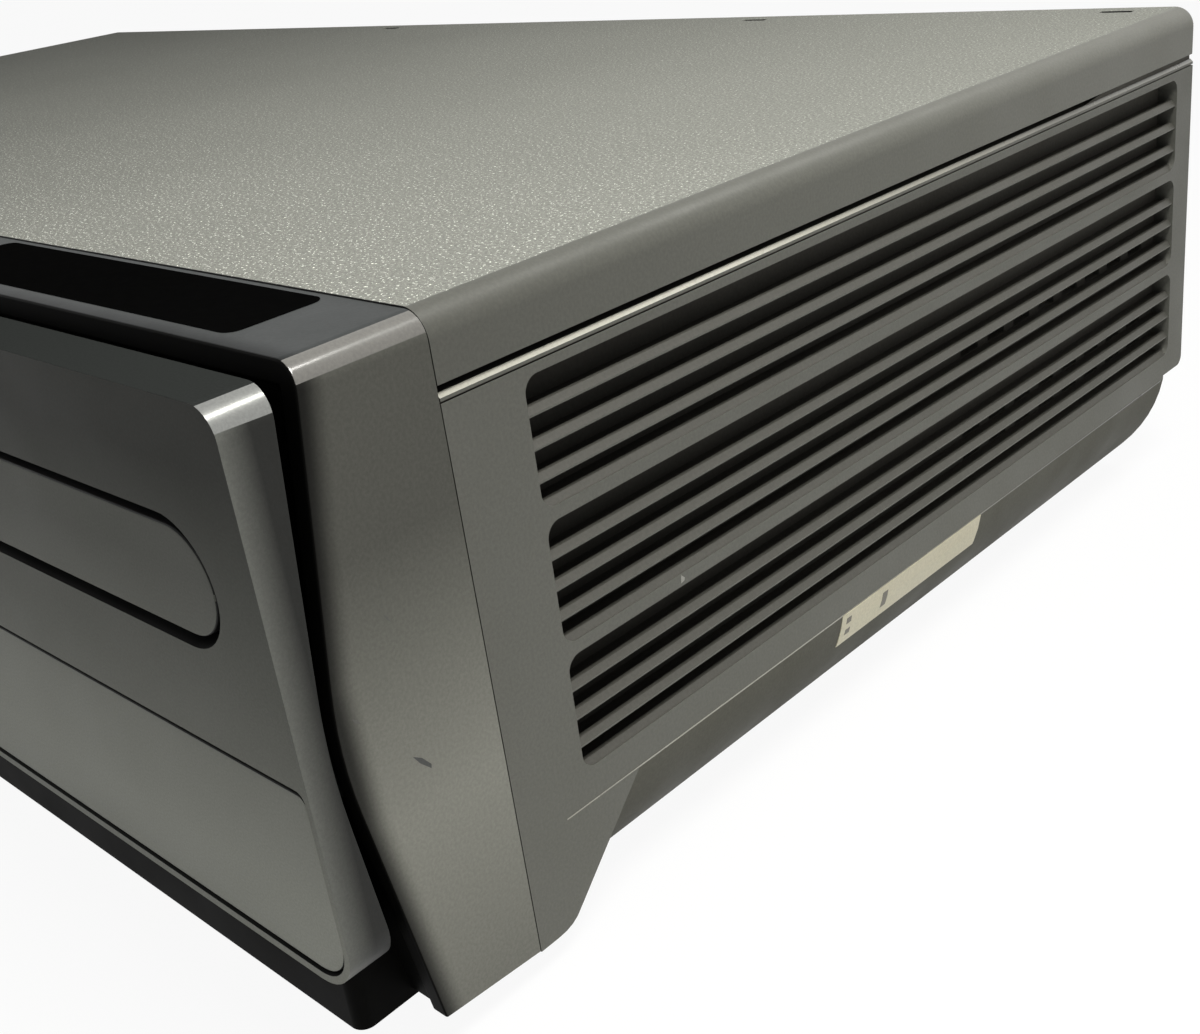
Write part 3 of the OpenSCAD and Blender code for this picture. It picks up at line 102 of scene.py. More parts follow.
class Graph:
    """The shader nodes of a material or of the world, with short ways to make and link them."""

    def __init__(self, owner, output):
        owner.use_nodes = True
        self.owner = owner
        self.tree = owner.node_tree
        self.tree.nodes.clear()
        self.out = self.add(output)
        self.coords = self.add("ShaderNodeTexCoord")

    def add(self, kind, **values):
        """A new node. A value sets its property of that name, or else its input, with _ for a blank."""
        node = self.tree.nodes.new(kind)
        for key, value in values.items():
            if hasattr(node, key):
                setattr(node, key, value)
            else:
                node.inputs[key.replace("_", " ")].default_value = value
        return node

    def link(self, a, out, b, into):
        self.tree.links.new(a.outputs[out], b.inputs[into])

    def place(self, kind="Object"):
        """The place on the object, split into X, Y and Z."""
        split = self.add("ShaderNodeSeparateXYZ")
        self.link(self.coords, kind, split, "Vector")
        return split

    def noise(self, scale, detail=3.0, rough=0.5, stretch=None):
        node = self.add("ShaderNodeTexNoise", Scale=scale, Detail=detail, Roughness=rough)
        source, out = self.coords, "Object"
        if stretch:
            source, out = self.add("ShaderNodeMapping", Scale=stretch), "Vector"
            self.link(self.coords, "Object", source, "Vector")
        self.link(source, out, node, "Vector")
        return node

    def ramp(self, source, out, stops):
        """A value turned into a colour, by stops of (value, colour)."""
        node = self.add("ShaderNodeValToRGB")
        marks = node.color_ramp.elements
        marks[0].position, marks[0].color = stops[0]
        marks[1].position, marks[1].color = stops[-1]
        for at, colour in stops[1:-1]:
            marks.new(at).color = colour
        self.link(source, out, node, "Fac")
        return node

    def remap(self, source, out, before, after=(0.0, 1.0), **kind):
        """A value moved from one range to another, and held at its ends."""
        node = self.add("ShaderNodeMapRange", From_Min=before[0], From_Max=before[1],
                        To_Min=after[0], To_Max=after[1], **kind)
        self.link(source, out, node, "Value")
        return node

    def times(self, colour, source, out):
        """The colour multiplied by another colour or value."""
        mix = self.add("ShaderNodeMixRGB", blend_type="MULTIPLY", Fac=1.0)
        self.link(colour, "Color", mix, "Color1")
        self.link(source, out, mix, "Color2")
        return mix

    def along(self, colour, axis, span, tones):
        """The colour times a tone that changes evenly over a span of an axis."""
        rise = self.remap(self.place(), axis, [v * MM for v in span], tones)
        return self.times(colour, rise, "Result")

    def front_shade(self, colour, edge, reach, tone):
        """The colour darkened to tone at a front edge, given as (height, y) stops, as painted shade by the
        groove, and back to its own tone at reach behind it."""
        low, high = edge[0][0], edge[-1][0]
        near, far = FRONT_SHADE_Y
        place = self.place()
        height = self.remap(place, "Z", (low * MM, high * MM))
        front = self.ramp(height, "Result",
                          [((z - low) / (high - low), grey((y - near) / (far - near))) for z, y in edge])
        away = self.add("ShaderNodeMath", operation="SUBTRACT")
        self.link(self.remap(place, "Y", (near * MM, far * MM)), "Result", away, 0)
        self.link(front, "Color", away, 1)
        fade = self.remap(away, "Value", (0.0, reach / (far - near)), (tone, 1.0),
                          interpolation_type="SMOOTHSTEP")
        return self.times(colour, fade, "Result")

    def bump(self, source, distance, strength=1.0, after=None):
        node = self.add("ShaderNodeBump", Strength=strength, Distance=distance)
        self.link(source, "Fac", node, "Height")
        if after:
            self.link(after, "Normal", node, "Normal")
        return node


class Surface(Graph):
    """A material with one principled shader."""

    def __init__(self, name):
        super().__init__(bpy.data.materials.new(name), "ShaderNodeOutputMaterial")
        self.bsdf = self.add("ShaderNodeBsdfPrincipled")
        self.link(self.bsdf, "BSDF", self.out, "Surface")

    def roughness(self, noise, span):
        self.link(self.remap(noise, "Fac", MOST, span), "Result", self.bsdf, "Roughness")


def plastic(name, colour, grain, height, rough, vary, metallic=0.0, specular=0.5, speck=0.14, glint=1.0,
            fades=(), front_shade=None):
    """Moulded or painted plastic: a pebbled grain, a slight drift of colour and an uneven sheen.

    grain is the size of the pebbles and height their depth. rough holds the least and the most
    roughness, and vary is how far the colour drifts. speck is how much darker the pits are, and glint
    how much brighter the finest tips are painted, a painted highlight. fades are Graph.along's axis,
    span and tones, and front_shade is Graph.front_shade's edge, reach and tone, a painted shade."""
    g = Surface(name)
    tone = g.ramp(g.noise(14.0, 4.0), "Fac",
                  [(MOST[0], toned(colour, 1 - vary)), (MOST[1], toned(colour, 1 + vary))])
    pebbles = g.noise(1000.0 / grain, 2.0, 0.6)
    mix = g.times(tone, g.ramp(pebbles, "Fac", [(0.35, grey(1 - speck)), (0.68, grey(1))]), "Color")
    # painted highlight: the finest tips of the grain made brighter in the colour, most at the front
    if glint > 1:
        tips = g.ramp(g.noise(2100.0, 2.0, 0.7), "Fac", [(0.61, grey(1)), (0.69, grey(glint))])
        share = g.remap(g.place(), "Y", [v * MM for v in PAINTED_GLINT_Y], PAINTED_GLINT_SHARE)
        mix = g.times(mix, tips, "Color")
        g.link(share, "Result", mix, "Fac")
    for fade in fades:
        mix = g.along(mix, *fade)
    # painted shade along a front edge
    if front_shade:
        mix = g.front_shade(mix, *front_shade)
    g.link(mix, "Color", g.bsdf, "Base Color")
    g.roughness(g.noise(60.0, 5.0), rough)
    fine = g.bump(pebbles, height * MM)
    coarse = g.bump(g.noise(250.0 / grain, 2.0), height * 0.6 * MM, 0.6, fine)
    g.link(coarse, "Normal", g.bsdf, "Normal")
    g.bsdf.inputs["Metallic"].default_value = metallic
    g.bsdf.inputs["Specular IOR Level"].default_value = specular
    return g.owner


def metal(name, colour, rough, stretch=(1, 1, 1), scratch=0.004, metallic=1.0):
    """Metal with fine scratches: stretch packs them closer along an axis, and scratch is their depth."""
    g = Surface(name)
    scratches = g.noise(120.0, 6.0, 0.6, stretch)
    g.roughness(scratches, rough)
    tone = g.ramp(g.noise(22.0, 4.0), "Fac", [(MOST[0], toned(colour, 0.88)), (MOST[1], colour)])
    g.link(tone, "Color", g.bsdf, "Base Color")
    g.link(g.bump(scratches, scratch * MM, 0.5), "Normal", g.bsdf, "Normal")
    g.bsdf.inputs["Metallic"].default_value = metallic
    return g.owner


def smoked_window(name, dark, light):
    """A clear window tinted nearly black, with a slight haze."""
    g = Surface(name)
    haze = g.noise(90.0, 4.0)
    g.roughness(haze, (0.03, 0.09))
    g.link(g.ramp(haze, "Fac", [(MOST[0], dark), (MOST[1], light)]), "Color", g.bsdf, "Base Color")
    g.bsdf.inputs["Alpha"].default_value = 0.82
    return g.owner


def board(name, colour):
    """Lacquered circuit board with a pattern of tracks."""
    g = Surface(name)
    tracks = g.add("ShaderNodeTexBrick", Scale=110.0, Mortar_Size=0.03, Color1=colour,
                   Color2=toned(colour, 0.8), Mortar=toned(colour, 1.5))
    g.link(g.coords, "Object", tracks, "Vector")
    g.link(tracks, "Color", g.bsdf, "Base Color")
    g.link(g.bump(g.noise(300.0), 0.02 * MM, 0.4), "Normal", g.bsdf, "Normal")
    g.bsdf.inputs["Roughness"].default_value = 0.42
    return g.owner


# where the front edge of the wings and of the band runs, as (height, y)
WING_FRONT = [(0.0, -105.5), (12.0, -107.2), (25.0, -109.1), (40.0, -111.4), (60.0, -112.1), (80.0, -109.6),
              (100.0, -106.5)]
BAND_FRONT = [(98.0, -107.5), (100.0, -107.5)]

# name, colour, size and depth of the grain, roughness, drift of the colour, and what else is special
PLASTICS = {
    # the case
    # the cover's textured top: a real grain, painted much lighter than the sides and with no specular, a
    # painted sheen
    "grain": ("cover_grain_painted_sheen", (140, 141, 135), 0.5, 0.12, (0.42, 0.55), 0.03,
              dict(specular=0.0, speck=0.34, glint=5.0)),
    # the cover's sides and edges, painted lighter towards the back: painted light
    "cover": ("cover_smooth", (89, 89, 83), 0.5, 0.012, (0.4, 0.52), 0.03,
              dict(specular=0.25, fades=[("Y", (-90, 100), (0.82, 1.2))])),
    # the cabinet's sides, painted lighter towards the bottom and darker towards the top: painted light
    "cabinet": ("cabinet_matte", (94, 94, 88), 0.5, 0.012, (0.5, 0.66), 0.03,
                dict(specular=0.3, fades=[("Z", (0, 100), (1.1, 0.8))])),
    # the rolled foot: a darker copy of the side, darker still towards its lower edge, painted shade
    "foot": ("foot_roll", (94, 93, 85), 0.5, 0.012, (0.5, 0.66), 0.03,
             dict(specular=0.06, fades=[("Z", (6, 22), (0.55, 0.95))])),
    # the louvre blades' lips: a darker copy of the side, painted shade
    "slat": ("louvre_painted_shade", (73, 72, 67), 0.5, 0.012, (0.5, 0.66), 0.03, dict(specular=0.3)),
    # the lip's chamfer: lighter and glossier than the side, its lightness fading towards the back, a painted
    # highlight
    "lip": ("lip_sheen", (160, 158, 146), 0.4, 0.006, (0.24, 0.34), 0.03,
            dict(fades=[("Y", (-30, 60), (1.0, 0.28))])),
    # dark in the pockets, in the joint under the cover and inside, lighter towards the back: painted shade
    "shade": ("painted_shade", (66, 64, 59), 0.6, 0.006, (0.6, 0.75), 0.1,
              dict(specular=0.1, fades=[("Y", (-70, 60), (0.6, 1.5))])),
    # near black on the walls of holes and gaps, on the cover's front and under faces and inside: painted shade
    "gap_shade": ("gap_shade_black", (16, 16, 15), 0.6, 0.006, (0.5, 0.65), 0.1, dict(specular=0.2)),
    "rubber": ("foot_rubber", (24, 24, 24), 0.6, 0.02, (0.7, 0.85), 0.12, {}),
    # the front
    # the front frame, painted lighter low down, darker towards the top and a little darker at its foot:
    # painted light; front_shade darkens its front edge by the groove, painted shade
    "frame": ("front_frame_matte", (104, 104, 98), 0.5, 0.012, (0.42, 0.54), 0.03,
              dict(specular=0.06, fades=[("Z", (5, 35), (0.75, 1.0)), ("Z", (38, 75), (1.65, 0.6))],
                   front_shade=(WING_FRONT, 4.0, 0.12))),
    # the band on top of the front frame: a darker copy of the frame, darker still at its front edge, painted
    # shade
    "band": ("band_painted_shade", (58, 60, 60), 0.5, 0.012, (0.42, 0.54), 0.03,
             dict(specular=0.06, front_shade=(BAND_FRONT, 4.0, 0.3))),
    "edge": ("frame_worn_edge", (98, 96, 91), 0.4, 0.003, (0.17, 0.23), 0.02, dict(specular=1.0)),
    # the fascia's paint, painted lighter towards the bottom and dark towards the top: painted light
    "fascia": ("fascia_paint", (104, 105, 99), 0.35, 0.008, (0.42, 0.52), 0.02,
               dict(specular=0.04, fades=[("Z", (30, 90), (1.75, 0.32))])),
    # the trim's paint, painted lighter towards the bottom: painted light
    "trim": ("trim_paint", (112, 113, 107), 0.35, 0.008, (0.42, 0.52), 0.02,
             dict(specular=0.04, fades=[("Z", (30, 75), (2.0, 0.76))])),
    # the fascia's top: a dark copy of its paint, painted shade
    "crown": ("fascia_crown", (44, 46, 45), 0.35, 0.008, (0.42, 0.52), 0.04, dict(specular=0.0)),
    # the fascia's rolled corners: lighter than its paint, a painted highlight, and glossier and partly metal
    "shine": ("fascia_edge_painted_highlight", (140, 141, 138), 0.3, 0.003, (0.2, 0.28), 0.02, dict(metallic=0.6)),
    # the fascia's sides, painted darker towards the back: painted shade
    "rim": ("fascia_rim", (88, 89, 85), 0.35, 0.008, (0.42, 0.52), 0.02,
            dict(specular=0.16, fades=[("Y", (-118, -114), (1.2, 0.18))])),
    # the inner frame's black plastic; the front frame's faces turned to the front and its inner walls take it
    # too, as painted shade
    "black": ("black_plastic_and_shaded_fronts", (10, 10, 9), 2.0, 0.004, (0.5, 0.6), 0.1, dict(specular=0.02)),
    # a lighter copy of the inner frame's black where it shows in the groove: a painted highlight
    "groove": ("groove_painted_highlight", (60, 62, 62), 2.0, 0.004, (0.32, 0.42), 0.1, dict(specular=0.2)),
    "tube": ("tube_glass", (22, 34, 34), 1.0, 0.002, (0.08, 0.16), 0.1, {}),
    "key": ("key_satin", (118, 118, 115), 0.4, 0.006, (0.28, 0.4), 0.03, dict(metallic=0.5)),
    # what is stuck on, and marks of use
    "label": ("label_cream", (196, 190, 165), 0.5, 0.004, (0.4, 0.55), 0.05, {}),
    "ink": ("label_ink", (110, 106, 96), 0.5, 0.004, (0.5, 0.6), 0.05, {}),
    "sticker": ("sticker_black", (7, 7, 7), 1.5, 0.003, (0.4, 0.5), 0.08, dict(specular=0.0)),
    "scuff": ("scuff_dark", (56, 57, 56), 0.4, 0.004, (0.5, 0.6), 0.1, {}),
    "scratch": ("scratch_pale", (138, 138, 131), 0.4, 0.004, (0.5, 0.6), 0.1, {}),
    "faint": ("scuff_faint", (76, 76, 72), 0.4, 0.004, (0.5, 0.6), 0.1, {}),
    # the sockets and the inside
    "yellow": ("insert_yellow", (222, 176, 30), 0.8, 0.004, (0.3, 0.45), 0.04, {}),
    "white": ("insert_white", (226, 225, 218), 0.8, 0.004, (0.3, 0.45), 0.02, {}),
    "red": ("insert_red", (190, 38, 34), 0.8, 0.004, (0.3, 0.45), 0.04, {}),
    "block": ("block_black", (26, 26, 27), 0.7, 0.01, (0.4, 0.55), 0.1, {}),
    "tyre": ("roller_rubber", (22, 22, 22), 0.4, 0.006, (0.55, 0.7), 0.1, {}),
    "acetal": ("acetal_white", (224, 223, 216), 1.2, 0.006, (0.36, 0.5), 0.02, {}),
    "loader": ("loader_black", (34, 34, 36), 0.6, 0.02, (0.42, 0.56), 0.08, {}),
}
# name, colour, roughness, and what else is special
METALS = {
    "steel": ("plated_steel", (178, 178, 172), (0.3, 0.5), dict(stretch=(1, 1, 6))),
    "brass": ("plated_brass", (214, 200, 160), (0.15, 0.3), {}),
    "core": ("transformer_core", (150, 128, 70), (0.4, 0.6),
             dict(stretch=(1, 1, 12), scratch=0.02, metallic=0.5)),
    "alloy": ("turned_alloy", (200, 202, 204), (0.16, 0.32), dict(stretch=(1, 1, 30))),
    "bright": ("ground_steel", (214, 215, 218), (0.08, 0.2), dict(stretch=(1, 1, 8))),
    "pickup": ("cast_pickup", (150, 146, 138), (0.4, 0.6), dict(scratch=0.02)),
}
MATS = {
    "window": smoked_window("smoked_window", srgb(16, 18, 20), srgb(24, 26, 29)),
    "green": board("board_green", srgb(28, 92, 52)),
    "tan": board("board_tan", srgb(170, 138, 84)),
}
for key, (name, colour, grain, height, rough, vary, more) in PLASTICS.items():
    MATS[key] = plastic(name, srgb(*colour), grain, height, rough, vary, **more)
for key, (name, colour, rough, more) in METALS.items():
    MATS[key] = metal(name, srgb(*colour), rough, **more)

# the nodes made of each material, before skin() gives some of their faces another
MADE_OF = {
    "frame": "front_frame", "black": "inner_frame", "fascia": "fascia",
    "trim": "trim_panel tray_front cassette_flap", "window": "display_window", "tube": "display_tube",
    "cover": "top_cover", "cabinet": "lower_cabinet", "rubber": "feet cord_gland",
    "block": "front_jack_block rear_jack_block", "brass": "jack_sleeves aerial_sockets",
    "yellow": "video_inserts", "white": "left_audio_inserts", "red": "right_audio_inserts",
    "green": "main_board front_board", "tan": "power_board", "core": "transformer",
    "steel": "rear_panel case_screws tuner_can deck_plate carriage_frame cassette_holder clamp_bridge "
             "traverse_plate",
    "alloy": "heatsink drum_base head_drum tape_heads spindle_motor", "bright": "capstan guide_rods",
    "tyre": "pinch_roller", "acetal": "supply_reel takeup_reel tray_pinion disc_clamp feed_gear",
    "loader": "loader_base disc_tray turntable", "pickup": "pickup_sled",
    "key": " ".join(n for n in NODES if n.endswith("_button")),
}
MATERIAL_OF = {node: key for key, nodes in MADE_OF.items() for node in nodes.split()}


# ---------------------------------------------------------------- where the main forms are
def level(node, end, axis):
    """Where a CAD node ends along an axis: end 0 is its low side."""
    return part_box(node)[end][axis] / MM


NEAR = 0.06  # a place this close to a face counts as on it
FLAT = math.radians(0.6)  # a smaller turn between two faces counts as none
SIDE_X = level("lower_cabinet", 1, 0)
FRONT_Y = level("fascia", 0, 1)
JOINT_Y = level("front_frame", 1, 1)  # there the cover and the cabinet begin
BACK_Y = level("top_cover", 1, 1)
LIP_Z = level("lower_cabinet", 1, 2)
COVER_Z = level("top_cover", 0, 2)
BAND_Z = level("front_frame", 1, 2)
FASCIA_Z = level("fascia", 1, 2)
COVER_TOP_Z = COVER_Z + 8  # only the flat top of the cover is above it
CROWN_Z = FASCIA_Z - 4  # and only the fascia's rolled top above this
FASCIA_FOOT_Z = 30
RIM = 8.0  # how far the fascia's rim reaches in from its outline
PLATE_T = 3.4  # the fascia's plate
FRAME_T = 2.9  # just under the wall of the front frame
POCKET_X = SIDE_X - 4.0  # the backs of the louvred pockets
POCKETS_Z = (26, LIP_Z - 1.5)  # the pockets lie between these heights
BLADE_X = (SIDE_X - 2.0, SIDE_X - 0.1)  # and the lips of their blades between these widths
SEAM_Z = LIP_Z - 2  # the joint with the cover is above it
STEP_Z = 23.0  # the underside of the sides' overhang at the back
STEP_Y = BACK_Y - 9.2  # where it begins

# the rolled foot of a side, as places (x, z) from its crease down: the bend that the CAD section follows
CREASE = (SIDE_X, 22.1)
TURN = (SIDE_X - 1.7, 12.5)
SOLE = (SIDE_X - 9, 5.0)
ROLL_STEPS = 6
ROLL = [tuple((1 - s) ** 2 * a + 2 * s * (1 - s) * b + s * s * c for a, b, c in zip(CREASE, TURN, SOLE))
        for s in (i / ROLL_STEPS for i in range(ROLL_STEPS + 1))]


def skin(node, at, facing):
    """The material of one face of a CAD node, or None for the node's own."""
    x, y, z = abs(at[0]), at[1], at[2]
    outward = facing.x * at[0]  # above 0 where the face looks to its own side of the object
    corner_roll = 0.25 < facing.z < 0.97 and outward > 0
    if node == "top_cover":
        # the flat top takes the grain and its painted sheen
        if facing.z > 0.98 and z > COVER_TOP_Z:
            return "grain"
        # the cover's front and under faces, seen in its joints, take painted shade
        return "gap_shade" if facing.y < -0.9 or facing.z < -0.5 else None
    if node == "fascia":
        # the fascia's rolled corners take a painted highlight
        if corner_roll:
            return "shine"
        # the fascia's top takes a dark copy of its paint, painted shade
        if facing.z > 0.5 and z > CROWN_Z:
            return "crown"
        # the fascia's sides and underside take the rim, painted darker towards the back
        under = z < FASCIA_FOOT_Z and facing.z < -0.3
        if y > FRONT_Y + NEAR and x > SIDE_X - RIM - 1 and (outward > 0.3 * x or under):
            return "rim"
        outside = y < FRONT_Y + NEAR or x > SIDE_X - RIM - 0.2 or z > FASCIA_Z - 2.2
        in_a_hole = FRONT_Y + NEAR < y < FRONT_Y + PLATE_T - 0.4 and x < SIDE_X - 0.9
        # the walls of the fascia's holes and its inside take painted shade
        return None if outside and not in_a_hole else "gap_shade"
    if node == "inner_frame":
        # the inner frame in the groove takes a lighter copy of its black, a painted highlight
        return "groove" if z > FASCIA_FOOT_Z and x > SIDE_X - RIM else None
    if node in ("trim_panel", "tray_front", "cassette_flap"):
        # the trim pieces' edge walls, seen in their gaps, take painted shade
        return None if facing.y < -0.5 else "gap_shade"
    if node == "front_frame":
        # the faces turned to the front and the inner walls are painted black: painted shade by the groove
        if facing.y < -0.97 or x < SIDE_X - FRAME_T and z < BAND_Z - FRAME_T:
            return "black"
        # the band's top takes a darker copy of the frame, painted shade
        if facing.z > 0.97 and z > BAND_Z - 1:
            return "band"
        return "edge" if corner_roll else None
    if node == "lower_cabinet":
        # the lip's chamfer takes a painted highlight
        if LIP_Z - 1.3 < z and facing.z > 0.5 and outward > 0.4 * x:
            return "lip"
        in_pocket = POCKETS_Z[0] < z < POCKETS_Z[1] and abs(facing.y) < 0.5
        # the blades' lips take a darker copy of the side, painted shade
        if in_pocket and BLADE_X[0] < x < BLADE_X[1] and facing.z > 0.3:
            return "slat"
        # the rolled foot below the crease takes the painted shade of the foot
        if facing.z < -0.05 and z < CREASE[1] and x > SOLE[0]:
            return "foot"
        # the pockets' backs and blade tops, the top of the joint under the cover and the inside take painted
        # shade
        seam = z > SEAM_Z and (facing.z > 0.9 or x < SIDE_X - 0.1 and facing.z < -0.9)
        return "shade" if in_pocket and x < SIDE_X - 1.6 or seam or x < POCKET_X - 1 else None
    return None


# ---------------------------------------------------------------- rounded edges
SEGMENTS = 3
SHARP = 32  # degrees: an edge that turns further is rounded over
SHARP_CREASE = 9
WIDEST = 2.2
# how wide the edges of each such node are rounded over, where edge_width() says nothing else
USUAL_WIDTH = {
    "front_frame": 0.8, "fascia": 0.3, "trim_panel": 0.35, "tray_front": 0.45, "cassette_flap": 0.45,
    "top_cover": 0.15, "lower_cabinet": 0.2, "inner_frame": 0.4, "display_window": 0.2,
    "rear_panel": 0.15, "feet": 0.2, "clamp_bridge": 0.15, "disc_tray": 0.25, "loader_base": 0.25,
    "cassette_holder": 0.15, "carriage_frame": 0.15, "rear_jack_block": 0.2,
}
BUTTON_WIDTH = 0.25


def on_crease(node, a, b):
    """Whether the edge from a to b is the line where a side turns into its rolled foot."""
    return node == "lower_cabinet" and all(
        abs(p[0]) > CREASE[0] - NEAR and abs(p[2] - CREASE[1]) < 0.3 for p in (a, b))


def edge_width(node, a, b):
    """How wide the edge from a to b is rounded over."""
    def both(test):
        return test(a) and test(b)
    usual = USUAL_WIDTH.get(node, BUTTON_WIDTH)
    if node in ("front_frame", "top_cover", "lower_cabinet") and both(lambda p: abs(p[1] - JOINT_Y) < 0.2):
        return 0.1
    if node == "front_frame":
        return usual if both(lambda p: p[1] > JOINT_Y - 0.2) else 0.35
    if node == "fascia":
        front = both(lambda p: p[1] < FRONT_Y + NEAR)
        if both(lambda p: p[1] > FRONT_Y + PLATE_T and (abs(p[0]) > SIDE_X - RIM or p[2] > FASCIA_Z - 2)):
            return WIDEST
        if front and both(lambda p: p[2] > CROWN_Z - 0.2):
            return 1.6
        side = both(lambda p: abs(p[0]) > SIDE_X - NEAR)
        foot_corner = both(lambda p: p[2] < FASCIA_FOOT_Z - 4 and abs(p[0]) > SIDE_X - RIM - 0.3)
        if front and (side or foot_corner):
            return 0.7
        return 0.25 if front else 0.1
    if node == "lower_cabinet":
        if both(lambda p: p[1] > STEP_Y and p[2] < STEP_Z + 0.2) and not on_crease(node, a, b):
            return 1.8
        pocket_rim = both(lambda p: abs(p[0]) > SIDE_X - NEAR and POCKETS_Z[0] < p[2] < SEAM_Z
                          and p[1] < BACK_Y - 5)
        if pocket_rim:
            return 0.35
    if node == "top_cover" and both(lambda p: p[1] > BACK_Y - NEAR):
        corner = both(lambda p: p[2] < COVER_Z + NEAR and abs(p[0]) > SIDE_X - 3)
        return 1.4 if corner else 0.8
    return usual


def connected(items, neighbours):
    """The items in groups that hang together through neighbours, in an order that each run repeats."""
    left = dict.fromkeys(items)
    while left:
        found = [next(iter(left))]
        del left[found[0]]
        for item in found:
            for other in neighbours(item):
                if other in left:
                    del left[other]
                    found.append(other)
        yield found


def flat_regions(bm):
    """The flat regions of a mesh: lists of faces that join without a turn."""
    def neighbours(face):
        return [other for e in face.edges if len(e.link_faces) == 2 and e.calc_face_angle(0) < FLAT
                for other in e.link_faces]
    return connected(bm.faces, neighbours)


def outlines(faces):
    """The closed outlines of a region of faces, each as a list of corner places."""
    inside = set(faces)
    rim = [e for f in faces for e in f.edges if sum(other in inside for other in e.link_faces) == 1]
    at = {}
    for e in rim:
        for v in e.verts:
            at.setdefault(v, []).append(e)
    for found in connected(rim, lambda e: [other for v in e.verts for other in at[v]]):
        yield [v.co.copy() for e in found for v in e.verts]


def cut_at_holes(bm):
    """Cut every flat region that has holes along lines through them, so that no face has to run
    round a hole. The cuts are marked as seams."""
    for faces in list(flat_regions(bm)):
        loops = list(outlines(faces))
        if len(loops) < 2:
            continue
        spans = [[(min(p[k] for p in loop), max(p[k] for p in loop)) for k in range(3)] for loop in loops]
        outer = max(spans, key=lambda span: sum(hi - lo for lo, hi in span))
        axis = max(range(3), key=lambda k: outer[k][1] - outer[k][0])
        geom = list(dict.fromkeys(g for f in faces for g in (f, *f.edges, *f.verts)))
        for place in sorted({round(sum(span[axis]) / 2, 5) for span in spans if span is not outer}):
            cut = bmesh.ops.bisect_plane(bm, geom=geom, dist=1e-7,
                                         plane_co=[place * (k == axis) for k in range(3)],
                                         plane_no=[float(k == axis) for k in range(3)])
            geom = cut["geom"]
            for piece in cut["geom_cut"]:
                if isinstance(piece, bmesh.types.BMEdge):
                    piece.seam = True


def softened(node):
    """A copy of a CAD node with its sharp edges rounded over, as on a moulded part, and its faces in
    their materials."""
    mesh = NODES[node].data.copy()
    obj = new_object(node + "_dressed", mesh)
    bm = bmesh.new()
    bm.from_mesh(mesh)
    bmesh.ops.remove_doubles(bm, verts=bm.verts, dist=1e-6)
    cut_at_holes(bm)
    bmesh.ops.dissolve_limit(bm, angle_limit=FLAT, verts=bm.verts, edges=bm.edges, delimit={"SEAM"})
    bm.normal_update()
    skins = [MATERIAL_OF[node]]
    for f in bm.faces:
        key = skin(node, f.calc_center_bounds() / MM, f.normal) or skins[0]
        if key not in skins:
            skins.append(key)
        f.material_index = skins.index(key)
        f.smooth = True
    mesh.materials.clear()
    for key in skins:
        mesh.materials.append(MATS[key])
    weight = bm.edges.layers.float.new("bevel_weight_edge")
    for e in bm.edges:
        if len(e.link_faces) == 2:
            a, b = (v.co / MM for v in e.verts)
            turn = math.degrees(e.calc_face_angle(0))
            if turn > SHARP or turn > SHARP_CREASE and on_crease(node, a, b):
                e[weight] = edge_width(node, a, b) / WIDEST
    bm.to_mesh(mesh)
    bm.free()
    bevel = obj.modifiers.new("round", "BEVEL")
    bevel.width = WIDEST * MM
    bevel.segments = SEGMENTS
    bevel.limit_method = "WEIGHT"
    bevel.use_clamp_overlap = True
    bevel.miter_outer = "MITER_ARC"
    flat = obj.modifiers.new("flat", "WEIGHTED_NORMAL")
    flat.weight = 50
    flat.keep_sharp = True
    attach(obj, BODY_OF[node])
    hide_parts(node)


def paint(obj, mat):
    obj.data.materials.clear()
    obj.data.materials.append(mat)


for node, obj in NODES.items():
    if node in USUAL_WIDTH or MATERIAL_OF[node] == "key":
        softened(node)
    else:
        paint(obj, MATS[MATERIAL_OF[node]])


# ---------------------------------------------------------------- what is stuck on, and marks of use
def stuck_on(name, verts, faces, mat, node):
    """A thin piece on a CAD node, with its corners in millimetres."""
    mesh = bpy.data.meshes.new(name)
    mesh.from_pydata([Vector(v) * MM for v in verts], [], faces)
    mesh.validate()
    obj = new_object(name, mesh)
    paint(obj, MATS[mat])
    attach(obj, BODY_OF[node])


def film(name, points, lift, mat, node):
    """A thin film with this outline, from the surface it was drawn on to lift beyond it."""
    n = len(points)
    faces = [list(range(n, 2 * n)), list(range(n - 1, -1, -1))]
    faces += [(i, (i + 1) % n, n + (i + 1) % n, n + i) for i in range(n)]
    stuck_on(name, [Vector(p) for p in points] + [Vector(p) + Vector(lift) for p in points], faces, mat, node)


def round_corners(x0, y0, x1, y1, r, steps=5):
    """The outline of a rectangle with round corners, anticlockwise."""
    corners = ((x1 - r, y1 - r, 0), (x0 + r, y1 - r, 90), (x0 + r, y0 + r, 180), (x1 - r, y0 + r, 270))
    turns = [(cx, cy, math.radians(start + 90 * i / steps)) for cx, cy, start in corners
             for i in range(steps + 1)]
    return [(cx + r * math.cos(t), cy + r * math.sin(t)) for cx, cy, t in turns]


def on_foot(drop, y, out=0.0):
    """A point of the rolled foot, drop below its crease and out in front of its face."""
    z = CREASE[1] - drop
    for (x0, z0), (x1, z1) in zip(ROLL, ROLL[1:]):
        if z >= z1:
            break
    return (x0 + (x1 - x0) * (z0 - z) / (z0 - z1) + out, y, z)


